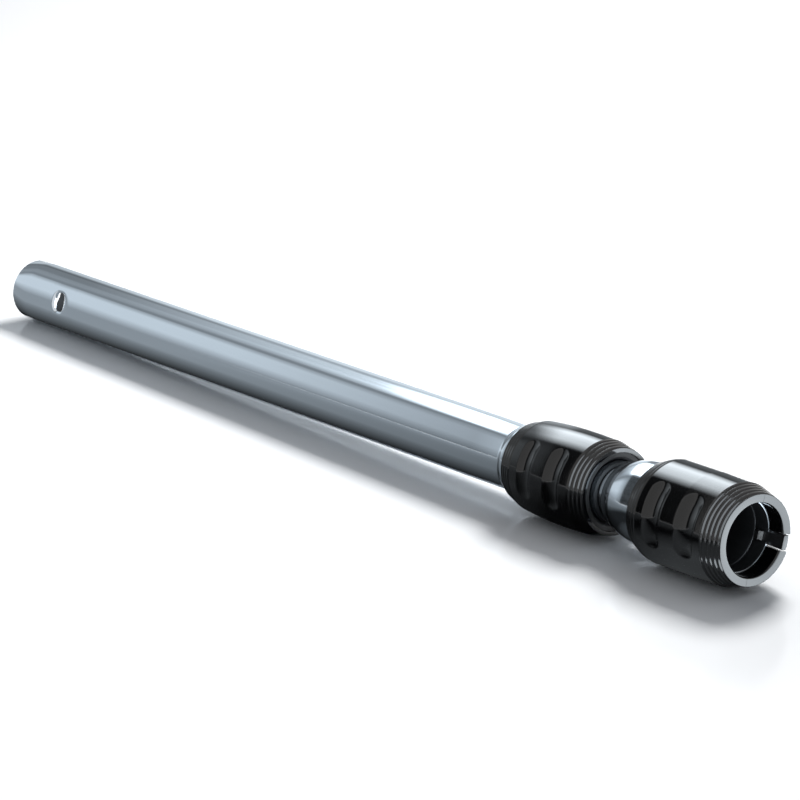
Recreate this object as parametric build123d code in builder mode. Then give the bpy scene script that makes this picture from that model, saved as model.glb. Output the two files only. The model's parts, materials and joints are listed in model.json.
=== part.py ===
from build123d import *
from math import atan2, cos, degrees, radians, sin
import os

# Telescopic vacuum wand, pushed together and lying as it comes to rest.
# It is modelled about its own axis, +X from the lower end to the mouth of the handle socket.
# The latch hole and the finger grooves of the handle are on -Y, the release lever on +Y,
# and the row of notches and its catch underneath, on -Z. The last section turns it as it lies.

# Lower tube
tube_d = 35.0
tube_wall = 0.8
tube_visible = 455.8
bell_rise = 1.4
bell_start = 8.3
bell_ramp = 5.0
bell_length = 17.5

# Latch hole near the lower end, with its edge pressed inwards
latch_edge = 43.0
latch_width = 7.2
latch_around = 11.0
latch_press = 2.0
latch_rim_width = 16.0
latch_rim_around = 15.6
latch_rim_lead = 2.0

# Upper tube, its notches and its widened socket
slide_gap = 0.7
upper_wall = 0.8
notch_pitch = 20.0
notch_length = 7.0
notch_depth = 1.3
socket_fit = 0.1
socket_cone = 6.0
flare_length = 10.0
flare_ramp = 0.8
flare_rise = 0.4
rim_inset = 10.5
seal_depth = 2.5

# Rings on the upper tube's lower end
tail_rings = 30.5
guide_length = 14.0
guide_lip = 1.0
seal_length = 3.0
clip_split = 3.0

# Lock sleeve
sleeve_length = 64.7
sleeve_travel = 6.0
sleeve_wall = 4.75
sleeve_left_wall = 1.0
sleeve_shoulder = 8.7
sleeve_shoulder_wall = 3.55
sleeve_nose = 10.5
sleeve_nose_wall = 4.3
sleeve_right_wall = 2.2
sleeve_lip = 1.7
sleeve_round = 12.0
end_ring_length = 8.2
end_ring_chamfer = 1.2
collar_gap = 17.0

# Lock housing, felt and spring inside the sleeve
housing_wall = 1.2
bush_flange = 1.6
spring_wire = 0.8
spring_turns = 6
felt_length = 3.0
felt_height = 1.9

# Catch and its cam
catch_from_bell = 6.0
catch_length = 6.0
catch_width = 6.4
catch_lift = 1.5
catch_pin_d = 1.2
catch_engage = 1.15
cam_cheek = 1.7
cam_wall = 2.0

# Handle sleeve, neck cup and socket nose
neck_length = 16.9
grip_length = 54.6
grip_wall = 3.5
grip_left_wall = 2.5
grip_shoulder = 6.7
grip_taper = 19.0
grip_taper_drop = 0.5
grip_lip = 2.6
grip_round = 14.0
ring_split = 5.0
nose_length = 12.0
mouth_ring = 4.6
mouth_step = 0.7
neck_rise = 2.9
cup_overlap = 8.6
clip_height = 1.6
neck_wall = 0.9

# Grooves for the fingers and fine turned grooves
finger_width = 11.5
finger_depth = 1.9
finger_sweep = 80.0
thumb_width = 13.0
sleeve_places = (0.305, 0.645)
finger_place = 0.335
thumb_place = 0.755
lever_side = 0.0
latch_side = 180.0
fine_width = 0.9
fine_depth = 0.45
fine_pitch = 1.8
step_width = 1.3
step_depth = 0.65
step_pitch = 2.3

# Release lever of the handle socket
lever_width = 7.5
lever_slot_gap = 0.5
lever_length = 41.9
lever_pivot_back = 29.0
lever_pivot_r = 2.3
lever_pin_d = 2.0
pin_cheek = 2.6
pad_height = 2.6
pad_dish = 0.9
pad_ribs = 3
rib_first = 3.0
rib_pitch = 2.4
rib_width = 1.2
rib_depth = 0.4
nub_length = 4.6
nub_width = 4.6
nub_reach = 1.7
nub_back = 5.2
nub_slot = 1.7
leaf = 0.25
leaf_length = 8.0
leaf_back = 1.4

# Clearances and small edges
running = 0.1
loose = 0.2
free = 0.3
edge = 0.3

# How it lies
roll = 15.0

# Radii, from the lower tube outwards and inwards
tube_r = tube_d / 2
tube_bore_r = tube_r - tube_wall
upper_r = tube_bore_r - slide_gap
upper_bore_r = upper_r - upper_wall
bell_r = tube_r + bell_rise
bell_bore_r = bell_r - tube_wall
housing_bore_r = bell_r + running / 2
housing_r = bell_r + housing_wall
housing_neck_r = upper_r + 5 * running
sleeve_bore_r = housing_r + loose
sleeve_r = sleeve_bore_r + sleeve_wall
socket_bore_r = tube_r + socket_fit
socket_r = socket_bore_r + upper_wall
flare_r = socket_r + flare_rise
half_bore_r = socket_r + running
neck_r = socket_r + neck_rise
grip_lip_r = neck_r + loose / 2
half_r = neck_r + clip_height
grip_bore_r = half_r + running
grip_r = grip_bore_r + grip_wall
grip_end_r = grip_r - grip_taper_drop
mouth_bore_r = socket_bore_r + mouth_step
mouth_r = mouth_bore_r + mouth_ring

# Places along the axis, from the lower end to the mouth
sleeve_x = tube_visible
sleeve_end_x = sleeve_x + sleeve_length
bell_ramp_x = sleeve_x - bell_start
bell_x = bell_ramp_x + bell_ramp
bell_end_x = bell_x + bell_length
neck_x = sleeve_end_x + collar_gap
grip_x = neck_x + neck_length
nose_x = grip_x + grip_length
mouth_x = nose_x + nose_length
rim_x = mouth_x - rim_inset
flare_x = rim_x - flare_length
nub_x = rim_x - nub_back
socket_x = nub_x - latch_edge - latch_width / 2
cone_x = socket_x - socket_cone
housing_x = sleeve_x + sleeve_lip + free
end_ring_x = sleeve_end_x - 4 * loose - end_ring_length
housing_end_x = end_ring_x - sleeve_travel - loose
bush_x = bell_x + 2 * running
catch_x = bell_end_x + catch_from_bell + 2 * running

# The cam round the catch moves with the sleeve, and the housing steps down for the spring beside it
cam_x = catch_x - catch_length / 2 - 2 * loose - cam_wall
cam_length = catch_length + sleeve_travel + 4 * loose + 2 * cam_wall
housing_step_x = cam_x + cam_length - 4 * loose

# The upper tube stops where its clip meets the guide bush, a whole number of notches out
latch_end_x = latch_edge - latch_rim_lead + latch_rim_width
travel_room = bush_x - tail_rings - latch_end_x - 4 * free
notch_steps = int(travel_room / notch_pitch)
travel = notch_steps * notch_pitch
clip_x = bush_x - travel - 2 * free
tail_x = clip_x - tail_rings


def band(x_low, x_high, r_low, r_high):
    """Half section of a plain ring, added to the sketch in work"""
    Polygon((x_low, r_low), (x_high, r_low), (x_high, r_high), (x_low, r_high), align=None)


def turned_grooves(x_first, pitch, count, r_first, r_slope, width, depth):
    """V grooves cut into the half section, down a straight flank of the given slope"""
    for i in range(count):
        x = x_first + i * pitch
        r = r_first + i * pitch * r_slope
        tip = (x, r - depth)
        Polygon((x - width, r + depth), tip, (x + width, r + depth), align=None, mode=Mode.SUBTRACT)


def finger_cutter(x_mid, width, surface_r, middle):
    """Round-ended trough that runs round one side of a sleeve, its middle at an angle from +Y"""
    ball_r = (width**2 / 4 + finger_depth**2) / (2 * finger_depth)
    track_r = surface_r - finger_depth + ball_r
    half_turn = finger_sweep / 2 - degrees(atan2(width / 2, surface_r))
    ends = []
    for turn in (middle - half_turn, middle + half_turn):
        out_y, out_z = cos(radians(turn)), sin(radians(turn))
        away = 1 if turn > middle else -1
        ends.append(Plane(origin=(x_mid, track_r * out_y, track_r * out_z), x_dir=(1, 0, 0),
                          z_dir=(0, -away * out_z, away * out_y)))
    with BuildPart(mode=Mode.PRIVATE) as cutter:
        with BuildSketch(ends[0]):
            Circle(ball_r)
        revolve(axis=Axis.X, revolution_arc=-2 * half_turn)
        with Locations(*ends):
            Sphere(ball_r, arc_size1=0)
    return cutter.part


# Lower tube, belled at its top end
with BuildPart() as latch_funnel:
    rim_centre = latch_edge - latch_rim_lead + latch_rim_width / 2
    hole_centre = latch_edge + latch_width / 2
    with BuildSketch(Plane.XZ.offset(tube_r + edge)):
        with Locations((rim_centre, 0)):
            RectangleRounded(latch_rim_width, latch_rim_around, latch_rim_around / 2 - edge)
    with BuildSketch(Plane.XZ.offset(tube_r - latch_press)):
        with Locations((hole_centre, 0)):
            RectangleRounded(latch_width, latch_around, latch_width / 2 - edge / 2)
    loft()
    with BuildSketch(Plane.XZ.offset(tube_r - latch_press)):
        with Locations((hole_centre, 0)):
            RectangleRounded(latch_width, latch_around, latch_width / 2 - edge / 2)
    extrude(amount=-2 * latch_press)

with BuildPart() as latch_wall:
    with BuildSketch(Plane.XZ.offset(tube_r + edge)):
        with Locations((rim_centre, 0)):
            RectangleRounded(latch_rim_width + 2 * tube_wall, latch_rim_around + 2 * tube_wall,
                             latch_rim_around / 2)
    with BuildSketch(Plane.XZ.offset(tube_r - latch_press)):
        with Locations((hole_centre, 0)):
            RectangleRounded(latch_width + 2 * tube_wall, latch_around + 2 * tube_wall,
                             latch_width / 2 + tube_wall - edge / 2)
    loft()
    with BuildSketch(Plane.YZ):
        Circle(tube_r)
    extrude(amount=bell_ramp_x, mode=Mode.INTERSECT)

with BuildPart() as outer_tube:
    with BuildSketch(Plane.XZ):
        with BuildLine():
            Polyline(
                (0, tube_bore_r), (0, tube_r), (bell_ramp_x, tube_r), (bell_x, bell_r),
                (bell_end_x, bell_r), (bell_end_x, bell_bore_r), (bell_x, bell_bore_r),
                (bell_ramp_x, tube_bore_r), close=True)
        make_face()
    revolve(axis=Axis.X)
    ramp_edges = outer_tube.edges().filter_by(GeomType.CIRCLE).filter_by_position(
        Axis.X, bell_ramp_x - edge, bell_x + edge)
    fillet(ramp_edges, radius=bell_ramp / 3)
    fillet(outer_tube.edges().group_by(Axis.X)[0], radius=tube_wall / 3)
    add(latch_wall.part)
    add(latch_funnel.part, mode=Mode.SUBTRACT)
outer_tube.part.label = "outer_tube"

# Plastic bush in the bell, with a lead-in for the tube and a flange at the bell's rim
with BuildPart() as guide_bush:
    with BuildSketch(Plane.XZ):
        band(bush_x, bell_end_x + 2 * running, upper_r + running, bell_bore_r - running / 2)
        band(bell_end_x + running, bell_end_x + bush_flange, upper_r + running, bell_r)
    revolve(axis=Axis.X)
    chamfer(guide_bush.edges().group_by(Axis.X)[0].sort_by(SortBy.RADIUS)[0], length=2 * edge)
guide_bush.part.label = "guide_bush"

# Lock housing, pushed over the bell, with the catch's window underneath
felt_x = housing_end_x - 2 * felt_length
felt_seat_r = upper_r + felt_height + 3 * running
with BuildPart() as lock_housing:
    with BuildSketch(Plane.XZ):
        with BuildLine():
            Polyline(
                (housing_x, housing_bore_r), (housing_x, housing_r), (housing_step_x, housing_r),
                (housing_step_x, housing_bore_r), (housing_end_x, housing_bore_r),
                (housing_end_x, felt_seat_r), (felt_x, felt_seat_r), (felt_x, housing_neck_r),
                (bell_end_x + bush_flange + running, housing_neck_r),
                (bell_end_x + bush_flange + running, housing_bore_r), close=True)
        make_face()
    revolve(axis=Axis.X)
    with Locations((catch_x, 0, -housing_r)):
        Box(catch_length + 2 * loose, catch_width + 2 * loose, housing_r, mode=Mode.SUBTRACT)
    chamfer(lock_housing.edges().group_by(Axis.X)[-1].sort_by(SortBy.RADIUS)[-1], length=edge)
lock_housing.part.label = "lock_housing"

# Felt that wipes the upper tube, and the ring that holds it
with BuildPart() as wiper_ring:
    with BuildSketch(Plane.XZ):
        band(felt_x + running, felt_x + felt_length, upper_r + running, upper_r + felt_height)
    revolve(axis=Axis.X)
wiper_ring.part.label = "wiper_ring"

with BuildPart() as wiper_retainer:
    with BuildSketch(Plane.XZ):
        band(felt_x + felt_length + running, housing_end_x, housing_neck_r, felt_seat_r - running / 2)
    revolve(axis=Axis.X)
    chamfer(wiper_retainer.edges().group_by(Axis.X)[-1].sort_by(SortBy.RADIUS)[0], length=edge)
wiper_retainer.part.label = "wiper_retainer"

# Coil spring between the housing's step and the ring in the sleeve's end
spring_r = sleeve_bore_r - spring_wire / 2 - loose / 2
coil_x = housing_step_x + running + spring_wire / 2
coil_length = end_ring_x - coil_x - running - spring_wire / 2
with BuildPart() as sleeve_spring:
    with BuildLine() as coil:
        Helix(coil_length / spring_turns, coil_length, spring_r, center=(coil_x, 0, 0), direction=(1, 0, 0))
    with BuildSketch(Plane(origin=coil.line @ 0, z_dir=coil.line % 0)):
        Circle(spring_wire / 2)
    sweep(path=coil.line, is_frenet=True)
sleeve_spring.part.label = "sleeve_spring"

# Lock sleeve
cam_slope = catch_lift / sleeve_travel
catch_tip_r = upper_r - catch_engage
pin_r = sleeve_bore_r + catch_pin_d / 2 + free
cam_slot = catch_pin_d + 2 * running
cam_top_r = sleeve_bore_r - running / 2
cam_bottom_r = pin_r + catch_lift + cam_slot / 2 + 0.75 * loose
cam_half_width = catch_width / 2 + 1.5 * loose + cam_cheek
shoulder_x = sleeve_x + sleeve_shoulder
taper_x = sleeve_end_x - sleeve_nose
left_r = sleeve_bore_r + sleeve_left_wall
right_r = sleeve_bore_r + sleeve_right_wall
shoulder_r = sleeve_bore_r + sleeve_shoulder_wall
taper_r = sleeve_bore_r + sleeve_nose_wall
left_slope = (shoulder_r - left_r) / sleeve_shoulder
right_slope = (right_r - taper_r) / sleeve_nose

sleeve_fingers = [
    finger_cutter(sleeve_x + place * sleeve_length, finger_width, sleeve_r, side)
    for place in sleeve_places for side in (lever_side, latch_side)
]

with BuildPart() as lock_sleeve:
    with BuildSketch(Plane.XZ) as sleeve_section:
        with BuildLine():
            Polyline(
                (taper_x, taper_r), (sleeve_end_x, right_r), (sleeve_end_x, sleeve_bore_r),
                (sleeve_x + sleeve_lip, sleeve_bore_r), (sleeve_x + sleeve_lip, bell_r + 2 * loose),
                (sleeve_x, bell_r + 2 * loose), (sleeve_x, left_r), (shoulder_x, shoulder_r))
            ThreePointArc((shoulder_x, shoulder_r), ((shoulder_x + taper_x) / 2, sleeve_r), (taper_x, taper_r))
        make_face()
        fillet(sleeve_section.vertices().sort_by_distance((shoulder_x, shoulder_r))[0], radius=sleeve_round)
        turned_grooves(sleeve_x + fine_pitch, fine_pitch, 4, left_r + fine_pitch * left_slope,
                       left_slope, fine_width, fine_depth)
        turned_grooves(taper_x + step_pitch / 2, step_pitch, 4, taper_r + step_pitch / 2 * right_slope,
                       right_slope, step_width, step_depth)
    revolve(axis=Axis.X)
    for trough in sleeve_fingers:
        add(trough, mode=Mode.SUBTRACT)
    with Locations((cam_x + cam_length / 2, 0, -(cam_bottom_r + running) / 2)):
        Box(cam_length + 2 * running, 2 * (cam_half_width + running), cam_bottom_r + running,
            mode=Mode.SUBTRACT)
lock_sleeve.part.label = "lock_sleeve"

# Ring in the sleeve's end, which the spring pushes against
with BuildPart() as sleeve_end_ring:
    with BuildSketch(Plane.XZ):
        band(end_ring_x, end_ring_x + end_ring_length, housing_neck_r, sleeve_bore_r - running / 2)
    revolve(axis=Axis.X)
    chamfer(sleeve_end_ring.edges().group_by(Axis.X)[-1].sort_by(SortBy.RADIUS)[0], length=end_ring_chamfer)
sleeve_end_ring.part.label = "sleeve_end_ring"

# Cam in the sleeve, with a slanted slot in each cheek
with BuildPart() as release_cam:
    with Locations((cam_x + cam_length / 2, 0, -(cam_top_r + cam_bottom_r) / 2)):
        Box(cam_length, 2 * cam_half_width, cam_bottom_r - cam_top_r)
        Box(cam_length - 2 * cam_wall, 2 * (cam_half_width - cam_cheek), cam_bottom_r, mode=Mode.SUBTRACT)
    with BuildSketch(Plane.XZ):
        with Locations((catch_x + sleeve_travel / 2, -pin_r - catch_lift / 2)):
            SlotCenterToCenter((sleeve_travel**2 + catch_lift**2) ** 0.5, cam_slot,
                               rotation=-degrees(atan2(catch_lift, sleeve_travel)))
    extrude(amount=2 * cam_half_width, both=True, mode=Mode.SUBTRACT)
release_cam.part.label = "release_cam"

# Catch and its cross pin
catch_out_r = pin_r + catch_pin_d / 2 + loose
with BuildPart() as lock_catch:
    with Locations((catch_x, 0, -(catch_tip_r + catch_out_r) / 2)):
        Box(catch_length, catch_width, catch_out_r - catch_tip_r)
    chamfer(lock_catch.faces().sort_by(Axis.Z)[-1].edges().filter_by(Axis.Y), length=2 * edge)
    with BuildSketch(Plane.XZ):
        with Locations((catch_x, -pin_r)):
            Circle(catch_pin_d / 2)
    extrude(amount=catch_width, both=True, mode=Mode.SUBTRACT)
lock_catch.part.label = "lock_catch"

pin_half = cam_half_width - running
with BuildPart() as catch_pin:
    with BuildSketch(Plane.XZ):
        with Locations((catch_x, -pin_r)):
            Circle(catch_pin_d / 2)
    extrude(amount=pin_half, both=True)
    chamfer(catch_pin.edges().filter_by(GeomType.CIRCLE), length=edge / 2)
catch_pin.part.label = "catch_pin"

# Upper tube, with its row of pressed notches and the widened socket
notch_mid_x = catch_x - travel / 2
notch_flat_r = upper_r - notch_depth
nub_slot_x = nub_x - nub_length / 2 - nub_slot
with BuildPart() as notch_beds:
    with Locations((notch_mid_x, 0, -upper_r)):
        with GridLocations(notch_pitch, 1, notch_steps + 1, 1):
            Box(notch_length + 2 * upper_wall, 2 * upper_r, 2 * (notch_depth + upper_wall))
    with BuildSketch(Plane.YZ):
        Circle(upper_r - upper_wall / 2)
    extrude(amount=mouth_x, mode=Mode.INTERSECT)

with BuildPart() as inner_tube:
    with BuildSketch(Plane.XZ):
        with BuildLine():
            Polyline(
                (tail_x, upper_bore_r), (tail_x, upper_r), (cone_x, upper_r), (socket_x, socket_r),
                (flare_x, socket_r), (flare_x + flare_ramp, flare_r), (rim_x, flare_r),
                (rim_x, flare_r - upper_wall), (flare_x + flare_ramp, flare_r - upper_wall),
                (flare_x, socket_bore_r), (socket_x, socket_bore_r), (cone_x, upper_bore_r), close=True)
        make_face()
    revolve(axis=Axis.X)
    add(notch_beds.part)
    with Locations((notch_mid_x, 0, -notch_flat_r - upper_r / 2)):
        with GridLocations(notch_pitch, 1, notch_steps + 1, 1):
            Box(notch_length, 2 * upper_r, upper_r, mode=Mode.SUBTRACT)
    with Locations(((nub_slot_x + mouth_x) / 2, socket_r, 0)):
        Box(mouth_x - nub_slot_x, socket_r, nub_width + 3.5 * loose, mode=Mode.SUBTRACT)
inner_tube.part.label = "inner_tube"

# Guide, seal and stop on the upper tube's lower end
with BuildPart() as tail_guide:
    with BuildSketch(Plane.XZ):
        band(tail_x - guide_lip, tail_x + guide_length, upper_r + running / 2, tube_bore_r - running)
        band(tail_x - guide_lip, tail_x - running, upper_bore_r, tube_bore_r - running)
    revolve(axis=Axis.X)
    chamfer(tail_guide.edges().group_by(Axis.X)[0].sort_by(SortBy.RADIUS)[-1], length=edge)
tail_guide.part.label = "tail_guide"

with BuildPart() as tail_seal:
    with BuildSketch(Plane.XZ):
        band(tail_x + guide_length + loose, tail_x + guide_length + seal_length,
             upper_r + running / 2, tube_bore_r - running)
    revolve(axis=Axis.X)
tail_seal.part.label = "tail_seal"

with BuildPart() as stop_clip:
    with BuildSketch(Plane.XZ):
        band(tail_x + guide_length + seal_length + loose, clip_x, upper_r + running / 2,
             tube_bore_r - 1.5 * running)
    revolve(axis=Axis.X)
    with Locations((clip_x, 0, upper_r)):
        Box(2 * tail_rings, clip_split, upper_r, mode=Mode.SUBTRACT)
stop_clip.part.label = "stop_clip"

# Drawn cup between the upper tube and the handle sleeve
cup_end_x = grip_x + cup_overlap
with BuildPart() as neck_cup:
    with BuildSketch(Plane.XZ) as cup_section:
        with BuildLine():
            Polyline(
                (neck_x, upper_r + running / 2), (neck_x, neck_r), (cup_end_x, neck_r),
                (cup_end_x, neck_r - neck_wall), (neck_x + neck_wall, neck_r - neck_wall),
                (neck_x + neck_wall, upper_r + running / 2), close=True)
        make_face()
        fillet(cup_section.vertices().group_by(Axis.X)[0].sort_by(Axis.Y)[-1], radius=neck_rise)
    revolve(axis=Axis.X)
neck_cup.part.label = "neck_cup"

# Handle sleeve
grip_flat_x = grip_x + grip_shoulder
grip_taper_x = nose_x - grip_taper
grip_left_r = grip_lip_r + grip_left_wall
grip_slope = (grip_r - grip_left_r) / grip_shoulder
lever_x = mouth_x - 2 * edge - lever_length
lever_slot = lever_width + 2 * lever_slot_gap
slot_end_x = lever_x - 4 * free

grip_fingers = [
    finger_cutter(grip_x + finger_place * grip_length, finger_width, grip_r, latch_side),
    finger_cutter(grip_x + thumb_place * grip_length, thumb_width, grip_r, latch_side),
]

with BuildPart() as handle_sleeve:
    with BuildSketch(Plane.XZ) as grip_section:
        with BuildLine():
            Polyline(
                (grip_x, grip_lip_r), (grip_x, grip_left_r), (grip_flat_x, grip_r),
                (grip_taper_x, grip_r), (nose_x, grip_end_r), (nose_x, grip_bore_r),
                (grip_x + grip_lip, grip_bore_r), (grip_x + grip_lip, grip_lip_r), close=True)
        make_face()
        fillet(grip_section.vertices().sort_by_distance((grip_flat_x, grip_r))[0], radius=grip_round)
        turned_grooves(grip_x + fine_pitch, fine_pitch, 3, grip_left_r + fine_pitch * grip_slope,
                       grip_slope, fine_width, fine_depth)
    revolve(axis=Axis.X)
    for trough in grip_fingers:
        add(trough, mode=Mode.SUBTRACT)
    with Locations(((slot_end_x + mouth_x) / 2, grip_r, 0)):
        Box(mouth_x - slot_end_x, 2 * grip_r, lever_slot, mode=Mode.SUBTRACT)
handle_sleeve.part.label = "handle_sleeve"

# Open ring between the cup and the sleeve
with BuildPart() as sleeve_clip:
    with BuildSketch(Plane.XZ):
        band(grip_x + grip_lip + running, cup_end_x, neck_r + running, grip_bore_r - running)
    revolve(axis=Axis.X)
    with Locations((grip_x, 0, grip_r)):
        Box(4 * grip_shoulder, ring_split, grip_r, mode=Mode.SUBTRACT)
sleeve_clip.part.label = "sleeve_clip"

# The two halves that line the sleeve and make the stepped nose and the mouth
half_x = cup_end_x + 2 * loose
nose_slope = (mouth_r - grip_end_r) / nose_length
pivot_x = mouth_x - lever_pivot_back
pivot_r = socket_r + lever_pivot_r
with BuildPart() as socket_shell:
    with BuildSketch(Plane.XZ):
        with BuildLine():
            Polyline(
                (half_x, half_bore_r), (half_x, half_r), (nose_x + running, half_r),
                (nose_x + running, grip_end_r), (mouth_x - edge, mouth_r + edge), (mouth_x, mouth_r - edge),
                (mouth_x - edge, mouth_bore_r + edge), (mouth_x - 2 * edge, mouth_bore_r),
                (rim_x + running, mouth_bore_r), (rim_x + running, flare_r + running),
                (flare_x - running, flare_r + running), (flare_x - running, half_bore_r), close=True)
        make_face()
        turned_grooves(nose_x + step_pitch, step_pitch, 4, grip_end_r + step_pitch * nose_slope,
                       nose_slope, step_width, step_depth)
    revolve(axis=Axis.X)

with BuildPart() as socket_half_front:
    add(socket_shell.part)
    split(bisect_by=Plane.XZ.offset(running / 4), keep=Keep.TOP)
socket_half_front.part.label = "socket_half_front"

with BuildPart() as socket_half_rear:
    add(socket_shell.part)
    split(bisect_by=Plane.XZ.offset(-running / 4), keep=Keep.BOTTOM)
    with Locations(((slot_end_x + mouth_x) / 2, grip_r, 0)):
        Box(mouth_x - slot_end_x + edge, 2 * grip_r, lever_slot, mode=Mode.SUBTRACT)
    with Locations((pivot_x, pivot_r, 0)):
        Cylinder(lever_pin_d / 2, 4 * lever_width, mode=Mode.SUBTRACT)
socket_half_rear.part.label = "socket_half_rear"

# Rubber ring in the cone at the bottom of the socket
seal_x = socket_x - seal_depth
cone_slope = (socket_bore_r - upper_bore_r) / socket_cone
seal_r = socket_bore_r - running / 2
with BuildPart() as socket_seal:
    with BuildSketch(Plane.XZ):
        Polygon(
            (seal_x, upper_bore_r), (socket_x - running, upper_bore_r),
            (socket_x - running, seal_r - running * cone_slope), (seal_x, seal_r - seal_depth * cone_slope),
            align=None)
    revolve(axis=Axis.X)
socket_seal.part.label = "socket_seal"

# Pivot pin, leaf spring and release lever
pin_reach = lever_slot / 2 + pin_cheek
with BuildPart() as lever_pin:
    with Locations((pivot_x, pivot_r, 0)):
        Cylinder(lever_pin_d / 2 - running / 4, 2 * pin_reach)
    chamfer(lever_pin.edges().filter_by(GeomType.CIRCLE), length=edge / 2)
lever_pin.part.label = "lever_pin"

lever_under_r = flare_r + free
pad_under_r = socket_r + pad_height
leaf_x = lever_x + leaf_back
leaf_end_x = leaf_x + leaf_length
leaf_r = socket_r + running / 2
leaf_top_r = pad_under_r - running / 2
with BuildPart() as lever_spring:
    with BuildSketch(Plane.XY):
        Polygon(
            (leaf_x, leaf_r), (leaf_end_x, leaf_r), (leaf_end_x + 2 * leaf, leaf_r + 2 * leaf),
            (leaf_x + 4 * leaf, leaf_top_r), (leaf_x + 4 * leaf, leaf_top_r - leaf),
            (leaf_end_x - leaf, leaf_r + leaf), (leaf_x, leaf_r + leaf), align=None)
    extrude(amount=lever_width / 3, both=True)
lever_spring.part.label = "lever_spring"

lever_end_x = lever_x + lever_length
lever_top_r = grip_end_r - edge
dish_r = lever_top_r - pad_dish
with BuildPart() as release_lever:
    with BuildSketch(Plane.XY):
        with BuildLine():
            ThreePointArc((lever_x, lever_top_r), ((lever_x + pivot_x) / 2, dish_r), (pivot_x, lever_top_r))
            Polyline(
                (pivot_x, lever_top_r), (nose_x, lever_top_r), (lever_end_x, mouth_r - 2 * edge),
                (lever_end_x, lever_under_r), (pivot_x + lever_pivot_r, lever_under_r),
                (pivot_x - lever_pivot_r, pad_under_r), (lever_x, pad_under_r), (lever_x, lever_top_r))
        make_face()
        with Locations((pivot_x, pivot_r)):
            Circle(lever_pivot_r - free)
        for i in range(pad_ribs):
            with Locations((lever_x + rib_first + rib_pitch * i, lever_top_r)):
                Rectangle(rib_width, 2 * (pad_dish + rib_depth), mode=Mode.SUBTRACT)
        with Locations((pivot_x, pivot_r)):
            Circle(lever_pin_d / 2 + running / 2, mode=Mode.SUBTRACT)
    extrude(amount=lever_width / 2, both=True)
    with BuildSketch(Plane.XY):
        with BuildLine():
            Polyline(
                (nub_x - nub_length / 2, lever_under_r + edge),
                (nub_x - nub_length / 2, socket_bore_r - nub_reach),
                (nub_x + nub_length / 8, socket_bore_r - nub_reach),
                (nub_x + nub_length / 2, socket_bore_r), (nub_x + nub_length / 2, lever_under_r + edge),
                close=True)
        make_face()
    extrude(amount=nub_width / 2, both=True)
release_lever.part.label = "release_lever"

# The wand lies on the lower tube's end and on the widest part of the handle sleeve
lay_tilt = degrees(atan2(grip_r - tube_r, grip_flat_x))
lay = Rotation(0, -lay_tilt, 0) * Rotation(-roll, 0, 0)

pieces = (
    outer_tube, guide_bush, lock_housing, wiper_ring, wiper_retainer, sleeve_spring, lock_sleeve,
    sleeve_end_ring, release_cam, lock_catch, catch_pin, inner_tube, tail_guide, tail_seal, stop_clip,
    neck_cup, handle_sleeve, sleeve_clip, socket_half_front, socket_half_rear, socket_seal, lever_pin,
    lever_spring, release_lever,
)
os.makedirs("parts", exist_ok=True)
for piece in pieces:
    export_step(piece.part.moved(lay), f"parts/{piece.part.label}.step")
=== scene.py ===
"""Looks of a telescopic vacuum wand: two chromed tubes, a grooved lock sleeve and a handle sleeve.

Every turned piece is a section carried round the wand's axis as whole numpy arrays. Lengths are in
millimetres along and around the wand's own axis, and become metres in the lying wand's frame when a
mesh is made. Angles round the axis are counted from the release lever's side (+Y) over the top (+Z),
so the latch hole's side is at half a turn and the row of notches at three quarters of one.
"""

from __future__ import annotations

import json
import logging
import math
from dataclasses import dataclass, field
from enum import Enum
from typing import Any, Callable, Sequence

import bpy
import numpy as np
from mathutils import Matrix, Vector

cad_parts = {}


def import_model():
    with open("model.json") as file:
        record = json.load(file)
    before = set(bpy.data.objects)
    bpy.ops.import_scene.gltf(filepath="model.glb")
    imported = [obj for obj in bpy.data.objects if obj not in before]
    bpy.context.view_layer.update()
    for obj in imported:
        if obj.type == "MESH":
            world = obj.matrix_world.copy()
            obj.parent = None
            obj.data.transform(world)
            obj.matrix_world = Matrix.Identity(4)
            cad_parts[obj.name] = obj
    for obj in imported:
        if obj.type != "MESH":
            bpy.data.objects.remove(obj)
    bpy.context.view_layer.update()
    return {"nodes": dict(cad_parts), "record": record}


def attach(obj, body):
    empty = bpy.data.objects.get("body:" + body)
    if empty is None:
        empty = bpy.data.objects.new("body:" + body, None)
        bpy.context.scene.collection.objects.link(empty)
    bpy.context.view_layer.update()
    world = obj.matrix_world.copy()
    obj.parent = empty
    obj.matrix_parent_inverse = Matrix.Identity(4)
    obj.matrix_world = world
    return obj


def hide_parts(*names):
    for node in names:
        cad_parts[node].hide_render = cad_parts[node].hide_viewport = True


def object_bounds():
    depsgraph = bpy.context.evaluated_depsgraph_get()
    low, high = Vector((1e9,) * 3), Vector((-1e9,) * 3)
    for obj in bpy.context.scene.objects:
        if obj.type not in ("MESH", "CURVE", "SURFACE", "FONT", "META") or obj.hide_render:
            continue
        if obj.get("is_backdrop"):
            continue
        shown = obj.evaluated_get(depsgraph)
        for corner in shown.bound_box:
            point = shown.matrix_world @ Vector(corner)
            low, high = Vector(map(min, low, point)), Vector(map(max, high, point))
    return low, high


LOG = logging.getLogger("wand")
MM = 0.001
TURN = 2.0 * math.pi
SHARP = math.radians(32.0)
SEAM_GAP = 0.06
HAIR = 1e-6
OVER_BORE = 0.8
CHORD = 0.45
CARD_TINT = (0.86, 0.94, 1.0, 1.0)
Array = np.ndarray
Triple = tuple[float, float, float]
RadiusRule = Callable[[Array, Array, Array], Array]


class Side(Enum):
    """Sides of the wand as angles round its axis, in radians."""

    LEVER = 0.0
    LATCH = 0.5 * TURN


class Ray(Enum):
    """Kinds of ray that the studio tells apart."""

    CAMERA = "Is Camera Ray"
    GLOSSY = "Is Glossy Ray"
    TRANSMISSION = "Is Transmission Ray"


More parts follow.
